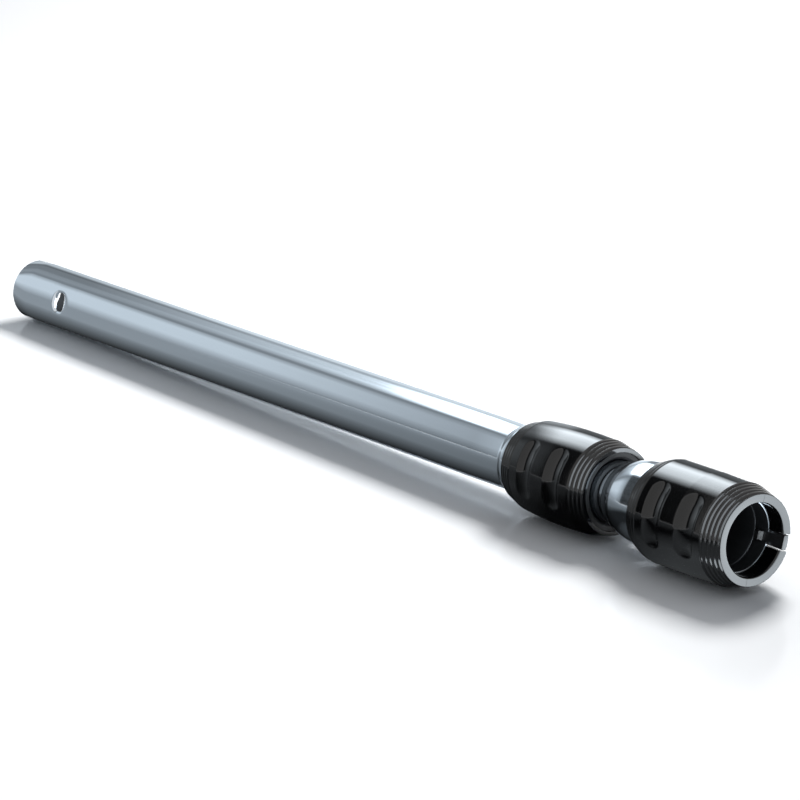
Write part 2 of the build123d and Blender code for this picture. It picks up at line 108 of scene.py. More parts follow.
@dataclass(frozen=True)
class Lay:
    """How the wand lies: its axis climbs by tilt and it is rolled about that axis, in degrees."""

    tilt: float
    roll: float = 15.0

    def matrix(self) -> Array:
        """Rotation from the wand's own axes to the lying frame.

        Returns:
            A 3x3 array.
        """
        roll, tilt = math.radians(self.roll), math.radians(self.tilt)
        c, s = math.cos(roll), math.sin(roll)
        turn_x = np.array([[1, 0, 0], [0, c, s], [0, -s, c]])
        c, s = math.cos(tilt), math.sin(tilt)
        turn_y = np.array([[c, 0, -s], [0, 1, 0], [s, 0, c]])
        return turn_y @ turn_x

    def place(self, along: Array, radius: Array, angle: Array) -> Array:
        """Turns cylinder coordinates about the wand's axis into points of the lying frame.

        Args:
            along: distance from the lower end, in millimetres.
            radius: distance from the axis, in millimetres.
            angle: angle round the axis, in radians.

        Returns:
            Points in metres, one row each.
        """
        own = np.stack([along, radius * np.cos(angle), radius * np.sin(angle)], axis=-1)
        return own.reshape(-1, 3) @ self.matrix().T * MM


@dataclass(frozen=True)
class Sizes:
    """Sizes of the wand in millimetres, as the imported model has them."""

    tube_r: float = 17.5
    wall: float = 0.8
    upper_r: float = 16.0
    bell_r: float = 18.9
    socket_r: float = 18.4
    sleeve_x: float = 455.8
    sleeve_length: float = 64.7
    neck_x: float = 527.5
    grip_x: float = 554.4
    nose_x: float = 609.0
    mouth_x: float = 621.0
    grip_r: float = 26.5
    grip_flat_x: float = 561.1

    def lay(self) -> Lay:
        """The wand rests on the lower tube's end and on the widest part of the handle sleeve."""
        return Lay(tilt=math.degrees(math.atan2(self.grip_r - self.tube_r, self.grip_flat_x)))


def eased(value: Array, start: float, end: float) -> Array:
    """Smooth step from 0 at start to 1 at end."""
    share = np.clip((value - start) / (end - start), 0.0, 1.0)
    return share**2 * (3.0 - 2.0 * share)


def rounded(points: Sequence[Triple], steps: int = 5) -> Array:
    """Closed section with its corners rounded.

    Each corner is replaced by an arc of its own radius, tangent to both of its sides.

    Args:
        points: corners as (along, radius from the axis, corner radius), in order.
        steps: number of chords in an arc.

    Returns:
        The section's points, one row each.
    """
    corners = np.array(points, dtype=float)
    out: list[Array] = []
    for i in range(len(corners)):
        before, corner, after = corners[i - 1, :2], corners[i, :2], corners[(i + 1) % len(corners), :2]
        r = corners[i, 2]
        to_before, to_after = before - corner, after - corner
        to_before /= np.linalg.norm(to_before)
        to_after /= np.linalg.norm(to_after)
        half = 0.5 * math.acos(float(np.clip(np.dot(to_before, to_after), -1.0, 1.0)))
        if r <= 0.0 or half > 0.499 * math.pi:
            out.append(corner[None, :])
            continue
        reach = r / math.tan(half)
        bisector = to_before + to_after
        bisector /= np.linalg.norm(bisector)
        centre = corner + bisector * r / math.sin(half)
        start, end = corner + to_before * reach - centre, corner + to_after * reach - centre
        sweep = math.pi - 2.0 * half
        share = np.linspace(0.0, 1.0, steps + 1)[:, None]
        arc = (np.sin((1 - share) * sweep) * start + np.sin(share * sweep) * end) / math.sin(sweep)
        out.append(centre + arc)
    return np.concatenate(out)


def densified(section: Array, spacing: float, start: float, end: float, above: float) -> Array:
    """Adds points to a closed section where a shape is pressed into its outside.

    Args:
        section: points of the closed section.
        spacing: the longest chord that is left there.
        start: where the stretch begins along the axis.
        end: where the stretch ends.
        above: radius over which a chord counts as the outside.

    Returns:
        The section with its long chords divided evenly.
    """
    out: list[Array] = []
    for i, point in enumerate(section):
        following = section[(i + 1) % len(section)]
        length = float(np.linalg.norm(following - point))
        inside = min(point[1], following[1]) > above
        inside &= max(point[0], following[0]) > start and min(point[0], following[0]) < end
        count = max(1, int(math.ceil(length / spacing))) if inside else 1
        share = np.arange(count)[:, None] / count
        out.append(point + (following - point) * share)
    return np.concatenate(out)


def grooved(outline: Array, centres: Array, width: float, depth: float, spacing: float = 0.11,
            soft: float = 0.06, least: float = 0.011) -> Array:
    """Cuts a row of V grooves with soft lips into an open outline.

    The outline is resampled finely between the grooves' ends, and at each point its radius loses
    depth * (1 - distance / half width), whose corners are rounded with a root of squares.

    Args:
        outline: points as (along, radius) rows, with along rising.
        centres: places of the grooves.
        width: width of a groove at the surface.
        depth: depth of a groove.
        spacing: distance between the new points.
        soft: by how much the lips and the bottom are rounded.
        least: cuts under this depth are left out, so that the surface between grooves stays.

    Returns:
        The outline with its grooves.
    """
    reach = 0.9 * width
    start, end = centres[0] - reach, centres[-1] + reach
    fine = np.arange(max(start, outline[0, 0]), min(end, outline[-1, 0]), spacing)
    along = np.unique(np.concatenate([outline[:, 0], fine]))
    radius = np.interp(along, outline[:, 0], outline[:, 1])
    away = np.sqrt(np.min(np.abs(along[:, None] - centres), axis=1) ** 2 + soft**2)
    cut = depth * (1.0 - away / (0.5 * width))
    cut = 0.5 * (cut + np.sqrt(cut**2 + soft**2))
    return np.stack([along, radius - np.where(cut > least, cut, 0.0)], axis=-1)


@dataclass(frozen=True)
class Grooves:
    """Row of fine turned grooves, whose places are counted from where the part or its nose begins."""

    first: float
    pitch: float
    count: int
    width: float
    depth: float

    def cut(self, outline: Array, start: float) -> Array:
        """Cuts the row into an open outline."""
        centres = start + self.first + self.pitch * np.arange(self.count)
        return grooved(outline, centres, self.width, self.depth)


@dataclass
class Skin:
    """Vertices in cylinder coordinates with their faces, before they are placed in the frame."""

    along: Array
    radius: Array
    angle: Array
    faces: list[Array] = field(default_factory=list)

    def build(self, name: str, lay: Lay) -> bpy.types.Object:
        """Makes the mesh object, with unused vertices dropped and smooth faces split at sharp edges.

        Args:
            name: name of the piece.
            lay: how the wand lies.

        Returns:
            The object, at the origin with its place in its mesh.
        """
        points = lay.place(self.along.ravel(), self.radius.ravel(), self.angle.ravel())
        used = np.unique(np.concatenate([f.ravel() for f in self.faces]))
        remap = np.full(len(points), -1, dtype=np.int64)
        remap[used] = np.arange(len(used))
        polygons = [list(map(int, row)) for block in self.faces for row in remap[block]]
        return make_object(name, points[used], polygons)


def make_object(name: str, points: Array, polygons: list[list[int]]) -> bpy.types.Object:
    """Makes a mesh object whose faces point outwards.

    Args:
        name: name of the piece.
        points: vertices in metres.
        polygons: vertex numbers of each face.

    Returns:
        The linked object.
    """
    mesh = bpy.data.meshes.new(name)
    mesh.from_pydata(points.tolist(), [], polygons)
    mesh.validate()
    if signed_volume(mesh) < 0.0:
        mesh.flip_normals()
    mesh.polygons.foreach_set("use_smooth", np.ones(len(mesh.polygons), dtype=bool))
    mesh.set_sharp_from_angle(angle=SHARP)
    mesh.update()
    return linked(name, mesh)


def linked(name: str, data: bpy.types.ID) -> bpy.types.Object:
    """A new object of the scene.

    Args:
        name: name of the object.
        data: the mesh, lamp or camera that it shows.

    Returns:
        The object.
    """
    piece = bpy.data.objects.new(name, data)
    bpy.context.scene.collection.objects.link(piece)
    return piece


def signed_volume(mesh: bpy.types.Mesh) -> float:
    """Volume that the mesh encloses, negative where its faces point inwards.

    The triangles of every face are summed as tetrahedra from the mesh's middle.

    Args:
        mesh: the mesh.

    Returns:
        The volume in cubic metres.
    """
    mesh.calc_loop_triangles()
    corners = np.empty(len(mesh.vertices) * 3)
    mesh.vertices.foreach_get("co", corners)
    corners = corners.reshape(-1, 3)
    corners -= corners.mean(axis=0)
    triangles = np.empty(len(mesh.loop_triangles) * 3, dtype=np.int64)
    mesh.loop_triangles.foreach_get("vertices", triangles)
    a, b, c = (corners[triangles.reshape(-1, 3)[:, k]] for k in range(3))
    return float(np.einsum("ij,ij->i", a, np.cross(b, c)).sum() / 6.0)


def ring_faces(rows: int, columns: int, close_rows: bool, close_columns: bool) -> Array:
    """Quads of a grid whose vertex number is row * columns + column.

    Args:
        rows: number of rows, one for each angle.
        columns: number of points in a row.
        close_rows: whether the last row joins the first.
        close_columns: whether the last point of a row joins its first.

    Returns:
        Vertex numbers, one quad in each row of the array.
    """
    row = np.arange(rows if close_rows else rows - 1)
    column = np.arange(columns if close_columns else columns - 1)
    return quad_rows(row, (row + 1) % rows, column, (column + 1) % columns, columns)


def turned(section: Array, count: int, rule: RadiusRule | None = None) -> Skin:
    """A closed section carried once round the axis.

    Args:
        section: closed section as (along, radius) rows.
        count: number of stations round the axis.
        rule: changes the radius, given arrays of along, radius and angle.

    Returns:
        The closed skin of the ring.
    """
    angle = np.repeat((np.arange(count) * TURN / count)[:, None], len(section), axis=1)
    along, radius = carried(section, angle, rule)
    return Skin(along, radius, angle, [ring_faces(count, len(section), True, True)])


def carried(section: Array, angle: Array, rule: RadiusRule | None = None) -> tuple[Array, Array]:
    """A section's points at every station of a grid of angles.

    Args:
        section: closed section as (along, radius) rows.
        angle: angles, one row for each station and one column for each point of the section.
        rule: changes the radius, given arrays of along, radius and angle.

    Returns:
        The grids of along and radius.
    """
    along, radius = (np.broadcast_to(section[:, axis], angle.shape).copy() for axis in (0, 1))
    return along, radius if rule is None else rule(along, radius, angle)


def end_caps(rows: int, columns: int) -> list[Array]:
    """Faces over the first and the last row of a grid."""
    first = np.arange(columns)[None, :]
    return [first[:, ::-1], (rows - 1) * columns + first]


def bar_faces(rows: int, columns: int) -> list[Array]:
    """Faces of a bar: quads between its rows, which are closed loops, and its two ends."""
    return [ring_faces(rows, columns, False, True), *end_caps(rows, columns)]


@dataclass(frozen=True)
class Slot:
    """Straight-sided slot along the axis on the lever's side, open at the mouth's end."""

    start: float
    half_width: float

    def edge(self, radius: Array) -> Array:
        """Angle of the slot's side at a radius, where its height over the middle is half_width."""
        return np.arcsin(self.half_width / radius)

    def bridge(self, radius: Array, steps: int) -> Array:
        """Angles of the rows that cross the slot, between its two sides."""
        return self.edge(radius) * (2.0 * np.linspace(0.0, 1.0, steps + 1)[1:-1, None] - 1.0)


def slotted(section: Array, slot: Slot, count: int, opening: float, rule: RadiusRule | None = None) -> Skin:
    """A closed section carried round the axis, with a slot cut into it on the lever's side.

    The rows run from one side of the slot round to the other, and a few more rows cross the slot where
    the section lies before its start. The slot's end and its two sides are closed.

    Args:
        section: closed section, whose points at slot.start are on its outer and its inner side.
        slot: the slot.
        count: number of stations outside the slot.
        opening: 1 for a full ring, or the share of a turn that a shell covers, centred on the slot.
        rule: changes the radius, given arrays of along, radius and angle.

    Returns:
        The closed skin.
    """
    columns = len(section)
    edge = slot.edge(section[:, 1])
    across = 4
    bridge = slot.bridge(section[:, 1], across)
    if opening >= 1.0:
        share = np.linspace(0.0, 1.0, count + 1)[:, None]
        side = edge + (TURN - 2.0 * edge) * share
        angle = np.concatenate([side, bridge])
        middle = np.arange(count, count + across)
        after = (middle + 1) % len(angle)
        sides = [(count, False), (0, True)]
        whole = np.arange(count)
    else:
        seam = 0.5 * opening * TURN - np.arcsin(SEAM_GAP / section[:, 1])
        share = np.linspace(0.0, 1.0, count // 2 + 1)[:, None]
        low = -seam + (seam - edge) * share
        angle = np.concatenate([low, bridge, -low[::-1]])
        first, last = count // 2, count // 2 + across
        middle = np.arange(first, last)
        after = middle + 1
        sides = [(first, False), (last, True)]
        whole = np.concatenate([np.arange(first), np.arange(last, len(angle) - 1)])
    along, radius = carried(section, angle, rule)
    following = (np.arange(columns) + 1) % columns
    faces = [quad_rows(whole, (whole + 1) % len(angle), np.arange(columns), following, columns)]
    before = section[:, 0] <= slot.start + HAIR
    kept = np.flatnonzero(before & before[following])
    faces.append(quad_rows(middle, after, kept, following[kept], columns))
    run = ordered_run(np.flatnonzero(~before), columns)
    wall = np.array([(run[0] - 1) % columns, (run[-1] + 1) % columns])
    faces.append(quad_rows(middle, after, wall[:1], wall[1:], columns))
    cheek = np.concatenate([wall[:1], run, wall[1:]])
    for row, reverse in sides:
        loop = row * columns + cheek
        faces.append((loop[::-1] if reverse else loop)[None, :])
    if opening < 1.0:
        faces += end_caps(len(angle), columns)
    return Skin(along, radius, angle, faces)


def quad_rows(row: Array, next_row: Array, column: Array, next_column: Array, columns: int) -> Array:
    """Quads between chosen rows and columns of a grid of vertices.

    Args:
        row: first row of each strip of quads.
        next_row: second row of each strip.
        column: first column of each quad.
        next_column: second column of each quad.
        columns: number of points in a row of the grid.

    Returns:
        Vertex numbers, one quad in each row of the array.
    """
    i, j = np.meshgrid(np.arange(len(row)), np.arange(len(column)), indexing="ij")
    a, b = row[i] * columns, next_row[i] * columns
    c, d = column[j], next_column[j]
    return np.stack([a + c, a + d, b + d, b + c], axis=-1).reshape(-1, 4)


def ordered_run(indices: Array, length: int) -> Array:
    """Puts a run of indices that may pass the end of a closed loop into walking order.

    Args:
        indices: the run's indices, rising.
        length: number of points in the loop.

    Returns:
        The same indices from the run's first to its last.
    """
    present = np.zeros(length, dtype=bool)
    present[indices] = True
    first = next(int(i) for i in indices if not present[(i - 1) % length])
    return (first + np.arange(len(indices))) % length


def shell_half(section: Array, count: int, centre: float) -> Skin:
    """Half of a turned shell, with its two seams closed.

    Args:
        section: closed section.
        count: number of stations.
        centre: angle of the middle of the half.

    Returns:
        The closed skin.
    """
    reach = 0.25 * TURN - np.arcsin(SEAM_GAP / section[:, 1])
    share = np.linspace(-1.0, 1.0, count + 1)[:, None]
    angle = centre + reach * share
    along, radius = carried(section, angle)
    return Skin(along, radius, angle, bar_faces(count + 1, len(section)))


def super_ellipse(across: Array, up: Array, power: float) -> Array:
    """How often a vector (across, up) fits into the super-ellipse of radius 1 and the given power."""
    return (np.abs(across) ** power + np.abs(up) ** power) ** (-1.0 / power)


@dataclass(frozen=True)
class Trough:
    """Round-ended finger groove that runs round one side of a sleeve."""

    centre: float
    width: float
    side: Side
    depth: float = 1.9
    sweep: float = 80.0
    farthest: float = 1.2

    def depth_at(self, along: Array, radius: Array, angle: Array, surface: float) -> Array:
        """How deep the groove is under a smooth surface.

        A ball that is rolled round the axis leaves the groove, and at both ends the ball itself does:
        the depth is how far the ball reaches under the surface at that place. Past the angle farthest
        from the groove's end nothing is pressed.

        Args:
            along: distance along the axis.
            radius: radius of the smooth surface.
            angle: angle round the axis.
            surface: radius of the sleeve where the groove is.

        Returns:
            Depth in millimetres, 0 outside the groove.
        """
        ball = (self.width**2 / 4 + self.depth**2) / (2 * self.depth)
        track = surface - self.depth + ball
        half = math.radians(self.sweep / 2) - math.atan2(self.width / 2, surface)
        turn = np.abs((angle - self.side.value + 0.5 * TURN) % TURN - 0.5 * TURN)
        off = np.clip(turn - half, 0.0, None)
        middle = track * np.cos(off)
        inside = ball**2 - (along - self.centre) ** 2 - (track * np.sin(off)) ** 2
        floor = middle - np.sqrt(np.clip(inside, 0.0, None))
        depth = np.where(inside > 0.0, radius - floor, 0.0)
        return soft_floor(np.where(off < self.farthest, depth, 0.0))


def soft_floor(depth: Array, lip: float = 0.12) -> Array:
    """Depth that starts gently, so that the rim of a pressed shape is rounded by about the lip."""
    return np.clip(0.5 * (depth + np.sqrt(depth**2 + lip**2) - lip), 0.0, None)


def press_troughs(troughs: list[Trough], surface: float, bore_r: float, along: Array, radius: Array,
                  angle: Array) -> Array:
    """Presses finger grooves into the outside of a sleeve.

    Args:
        troughs: the grooves.
        surface: radius of the sleeve where the grooves are.
        bore_r: radius of the sleeve's bore.
        along: distance along the axis.
        radius: radius before the pressing.
        angle: angle round the axis.

    Returns:
        The new radius.
    """
    outside = radius > bore_r + OVER_BORE
    smooth = radius
    for trough in troughs:
        radius = np.where(outside, radius - trough.depth_at(along, smooth, angle, surface), radius)
    return radius


class Wire:
    """A shader socket on which arithmetic adds Math nodes."""

    def __init__(self, bench: "Bench", socket: bpy.types.NodeSocket) -> None:
        """Wraps the socket of a node on the bench."""
        self.bench = bench
        self.socket = socket

    def __add__(self, other: Any) -> "Wire":
        """self + other."""
        return self.bench.calculate("ADD", self, other)

    def __sub__(self, other: Any) -> "Wire":
        """self - other."""
        return self.bench.calculate("SUBTRACT", self, other)

    def __rsub__(self, other: Any) -> "Wire":
        """other - self."""
        return self.bench.calculate("SUBTRACT", other, self)

    def __mul__(self, other: Any) -> "Wire":
        """self * other."""
        return self.bench.calculate("MULTIPLY", self, other)

    __radd__ = __add__
    __rmul__ = __mul__


class Bench:
    """Node tree of one material or of the world, with one method that adds any node."""

    def __init__(self, tree: bpy.types.NodeTree) -> None:
        """Clears the tree."""
        self.tree = tree
        tree.nodes.clear()

    def node(self, kind: str, settings: dict[str, Any] | None = None,
             inputs: dict[Any, Any] | None = None) -> bpy.types.Node:
        """Adds a node.

        Args:
            kind: the node's type.
            settings: its properties, set first.
            inputs: values or wires for its sockets, by name or number.

        Returns:
            The node.
        """
        node = self.tree.nodes.new(kind)
        for key, value in (settings or {}).items():
            setattr(node, key, value)
        for key, value in (inputs or {}).items():
            socket = node.inputs[key]
            if isinstance(value, Wire):
                self.tree.links.new(value.socket, socket)
            else:
                socket.default_value = value
        return node

    def wire(self, kind: str, settings: dict[str, Any] | None = None, inputs: dict[Any, Any] | None = None,
             output: Any = 0) -> Wire:
        """Adds a node and returns one of its outputs as a wire."""
        return Wire(self, self.node(kind, settings, inputs).outputs[output])

    def calculate(self, operation: str, *values: Any) -> Wire:
        """Adds a Math node over wires or numbers."""
        return self.wire("ShaderNodeMath", {"operation": operation}, dict(enumerate(values)))

    def bump(self, strength: float, distance: float, height: Wire) -> Wire:
        """Tilts the surface by a height, as if it were distance metres high."""
        return self.wire("ShaderNodeBump", {}, {"Strength": strength, "Distance": distance, "Height": height})

    def noise(self, scale: float, stretch: Triple, tilt: float = 0.0, detail: float = 2.0,
              offset: float = 0.0) -> Wire:
        """Noise on Object coordinates, drawn out along the wand where stretch is small.

        Args:
            scale: how fine the noise is.
            stretch: factors of the three coordinates.
            tilt: climb of the wand's axis, in degrees.
            detail: octaves of the noise.
            offset: shift of the coordinates, so that two noises differ.

        Returns:
            The noise's value.
        """
        coordinates = self.wire("ShaderNodeTexCoord", output="Object")
        placed = self.wire("ShaderNodeMapping", {}, {
            "Vector": coordinates, "Scale": stretch, "Rotation": (0.0, math.radians(tilt), 0.0),
            "Location": (offset, offset, offset)})
        return self.wire("ShaderNodeTexNoise", {}, {"Vector": placed, "Scale": scale, "Detail": detail})

    def spread(self, value: Wire, low: float, high: float, to_low: float, to_high: float) -> Wire:
        """Maps a range of a wire to another range, clamped."""
        return self.wire("ShaderNodeMapRange", {"clamp": True}, {
            "Value": value, "From Min": low, "From Max": high, "To Min": to_low, "To Max": to_high})

    def blend(self, factor: Any, first: Any, second: Any) -> Wire:
        """Mixes two colours.

        Args:
            factor: share of the second colour.
            first: first colour or its wire.
            second: second colour or its wire.

        Returns:
            The mixed colour.
        """
        node = self.node("ShaderNodeMix", {"data_type": "RGBA"}, {"Factor": factor})
        for number, value in ((6, first), (7, second)):
            if isinstance(value, Wire):
                self.tree.links.new(value.socket, node.inputs[number])
            else:
                node.inputs[number].default_value = (*value, 1.0)
        return Wire(self, node.outputs[2])

    def axes(self) -> list[Wire]:
        """The Object coordinates x, y and z."""
        split = self.node("ShaderNodeSeparateXYZ", {}, {0: self.wire("ShaderNodeTexCoord", output="Object")})
        return [Wire(self, split.outputs[axis]) for axis in range(3)]

    def ray(self, kind: Ray) -> Wire:
        """1 on rays of a kind and 0 on others."""
        return self.wire("ShaderNodeLightPath", output=kind.value)


def new_material(name: str) -> tuple[bpy.types.Material, Bench]:
    """A new material with an empty node tree.

    Args:
        name: name of the material.

    Returns:
        The material and the bench for its nodes.
    """
    material = bpy.data.materials.new(name)
    material.use_nodes = True
    return material, Bench(material.node_tree)


def shade(colour: Triple, factor: float, added: float = 0.0) -> Triple:
    """A colour with each of its parts multiplied and raised."""
    return tuple(factor * part + added for part in colour)


@dataclass(frozen=True)
class Finish:
    """A surface finish, whose dress method gives a Blender material."""

    name: str

    def dress(self) -> bpy.types.Material:
        """Makes the material, with one surface shader.

        Returns:
            The material.
        """
        material, bench = new_material(self.name)
        shader = bench.wire("ShaderNodeBsdfPrincipled", {}, self.surface(bench))
        bench.node("ShaderNodeOutputMaterial", {}, {"Surface": shader})
        return material

    def surface(self, bench: Bench) -> dict[str, Any]:
        """Inputs of the surface shader; each kind of finish has its own."""
        raise NotImplementedError


@dataclass(frozen=True)
class Chrome(Finish):
    """Bright chrome plate over drawn tube: faint streaks along the tube, a soft haze, and painted shade
    inside the tube.
    """

    colour: Triple = (0.6, 0.65, 0.7)
    roughness: float = 0.055
    tilt: float = 0.92
    # Colour of the inside of the tubes, darkened as painted shade for the bore.
    bore_painted_shade: Triple = (0.06, 0.062, 0.066)
    bore_roughness: float = 0.33
    ripple: float = 0.02

    def bore(self, bench: Bench) -> Wire:
        """1 on the inside of a tube, where the surface faces the wand's axis, and 0 outside.

        The place's distance vector from the axis is dotted with the surface's own direction. Where the mask
        is 1, the colour is darkened as painted shade and the roughness is raised.

        Args:
            bench: the material's bench.

        Returns:
            The mask.
        """
        tilt = math.radians(self.tilt)
        axis = (math.cos(tilt), 0.0, math.sin(tilt))
        place = bench.wire("ShaderNodeTexCoord", output="Object")
        facing = bench.wire("ShaderNodeTexCoord", output="Normal")
        vector = "ShaderNodeVectorMath"
        along = bench.wire(vector, {"operation": "DOT_PRODUCT"}, {0: place, 1: axis}, "Value")
        on_axis = bench.wire(vector, {"operation": "SCALE"}, {0: axis, "Scale": along})
        out = bench.wire(vector, {"operation": "SUBTRACT"}, {0: place, 1: on_axis})
        away = bench.wire(vector, {"operation": "DOT_PRODUCT"}, {0: out, 1: facing}, "Value")
        return bench.spread(away, -0.004, -0.002, 1.0, 0.0)

    def surface(self, bench: Bench) -> dict[str, Any]:
        """Streaks and haze change the roughness, and shallow waves tilt the surface a little.

        Args:
            bench: the material's bench.

        Returns:
            Inputs of the surface shader.
        """
        streaks = bench.noise(900.0, (0.012, 1.0, 1.0), self.tilt, 3.0)
        haze = bench.noise(26.0, (0.35, 1.0, 1.0), self.tilt, 2.0, 3.0)
        waves = bench.noise(60.0, (0.2, 1.0, 1.0), self.tilt, 1.0, 7.0)
        roughness = (bench.spread(streaks, 0.35, 0.7, 0.0, 0.035)
                     + bench.spread(haze, 0.3, 0.75, self.roughness, self.roughness + 0.05))
        tint = bench.blend(bench.spread(haze, 0.3, 0.8, 0.0, 1.0), self.colour, shade(self.colour, 0.95))
        bore = self.bore(bench)
        # Painted shade: the inside of the tube takes a much darker colour, standing in for the shade in the
        # bore; its roughness is raised too.
        tint = bench.blend(bore, tint, self.bore_painted_shade)
        roughness = roughness + bore * self.bore_roughness
        bump = bench.bump(self.ripple, 0.0006, waves * 0.9 + streaks * 0.1)
        return {"Base Color": tint, "Metallic": 1.0, "Roughness": roughness, "Normal": bump}


@dataclass(frozen=True)
class Moulded(Finish):
    """Injection-moulded plastic: gloss or satin, with a slight orange peel and a cloud of wear."""

    colour: Triple = (0.0015, 0.0015, 0.0018)
    roughness: float = 0.11
    grain: float = 900.0
    bump: float = 0.03
    ior: float = 1.45

    def surface(self, bench: Bench) -> dict[str, Any]:
        """Fine grain feeds the bump, and a slow cloud shifts the roughness and the colour.

        Args:
            bench: the material's bench.

        Returns:
            Inputs of the surface shader.
        """
        cloud = bench.noise(45.0, (1.0, 1.0, 1.0), 0.0, 3.0)
        peel = bench.noise(self.grain, (1.0, 1.0, 1.0), 0.0, 2.0, 5.0)
        worn = shade(self.colour, 1.25, 0.0005)
        colour = bench.blend(bench.spread(cloud, 0.3, 0.75, 0.0, 1.0), self.colour, worn)
        roughness = bench.spread(cloud, 0.3, 0.75, self.roughness, self.roughness * 1.35) + peel * 0.02
        bump = bench.bump(self.bump, 0.0003, peel)
        return {"Base Color": colour, "Roughness": roughness, "Normal": bump, "IOR": self.ior}


@dataclass(frozen=True)
class Metal(Finish):
    """Plain steel of the hidden springs, pins and cam, with a ground or drawn grain."""

    colour: Triple = (0.55, 0.55, 0.57)
    roughness: float = 0.32

    def surface(self, bench: Bench) -> dict[str, Any]:
        """The grain runs along the wand and roughens the surface unevenly.

        Args:
            bench: the material's bench.

        Returns:
            Inputs of the surface shader.
        """
        grain = bench.noise(1500.0, (0.08, 1.0, 1.0), 0.0, 3.0)
        colour = bench.blend(grain, self.colour, shade(self.colour, 0.8))
        bump = bench.bump(0.12, 0.0002, grain)
        roughness = bench.spread(grain, 0.2, 0.8, self.roughness, self.roughness + 0.15)
        return {"Base Color": colour, "Metallic": 1.0, "Normal": bump, "Roughness": roughness}


@dataclass(frozen=True)
class Soft(Finish):
    """Felt and rubber of the hidden rings."""

    colour: Triple = (0.03, 0.03, 0.03)
    roughness: float = 0.75
    nap: float = 2500.0

    def surface(self, bench: Bench) -> dict[str, Any]:
        """A fine nap mottles the colour and roughens the surface.

        Args:
            bench: the material's bench.

        Returns:
            Inputs of the surface shader.
        """
        nap = bench.noise(self.nap, (1.0, 1.0, 1.0), 0.0, 4.0)
        colour = bench.blend(nap, shade(self.colour, 0.6), shade(self.colour, 1.4))
        bump = bench.bump(0.4, 0.0003, nap)
        return {"Base Color": colour, "Roughness": self.roughness, "Normal": bump}


@dataclass
class Kit:
    """What every sub-assembly is built with: the sizes, the lay and the dressed finishes."""

    sizes: Sizes
    lay: Lay
    finishes: dict[str, bpy.types.Material]

    def fit(self, piece: bpy.types.Object, slot: str, body: str, *nodes: str) -> bpy.types.Object:
        """Gives a piece its finish, lets it ride on its body and stand for its CAD nodes.

        Args:
            piece: the new piece.
            slot: material slot of the record, which is also the finish's key.
            body: body that it moves with.
            nodes: CAD nodes that it stands for.

        Returns:
            The piece.
        """
        piece.data.materials.clear()
        piece.data.materials.append(self.finishes[slot])
        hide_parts(*nodes)
        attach(piece, body)
        count = len(piece.data.polygons)
        LOG.info("%s rides on %s for %s, %d faces", piece.name, body, ", ".join(nodes), count)
        return piece


    def add(self, skin: Skin, name: str, slot: str, body: str, *nodes: str) -> bpy.types.Object:
        """Builds a piece from its skin and fits it."""
        return self.fit(skin.build(name, self.lay), slot, body, *nodes)


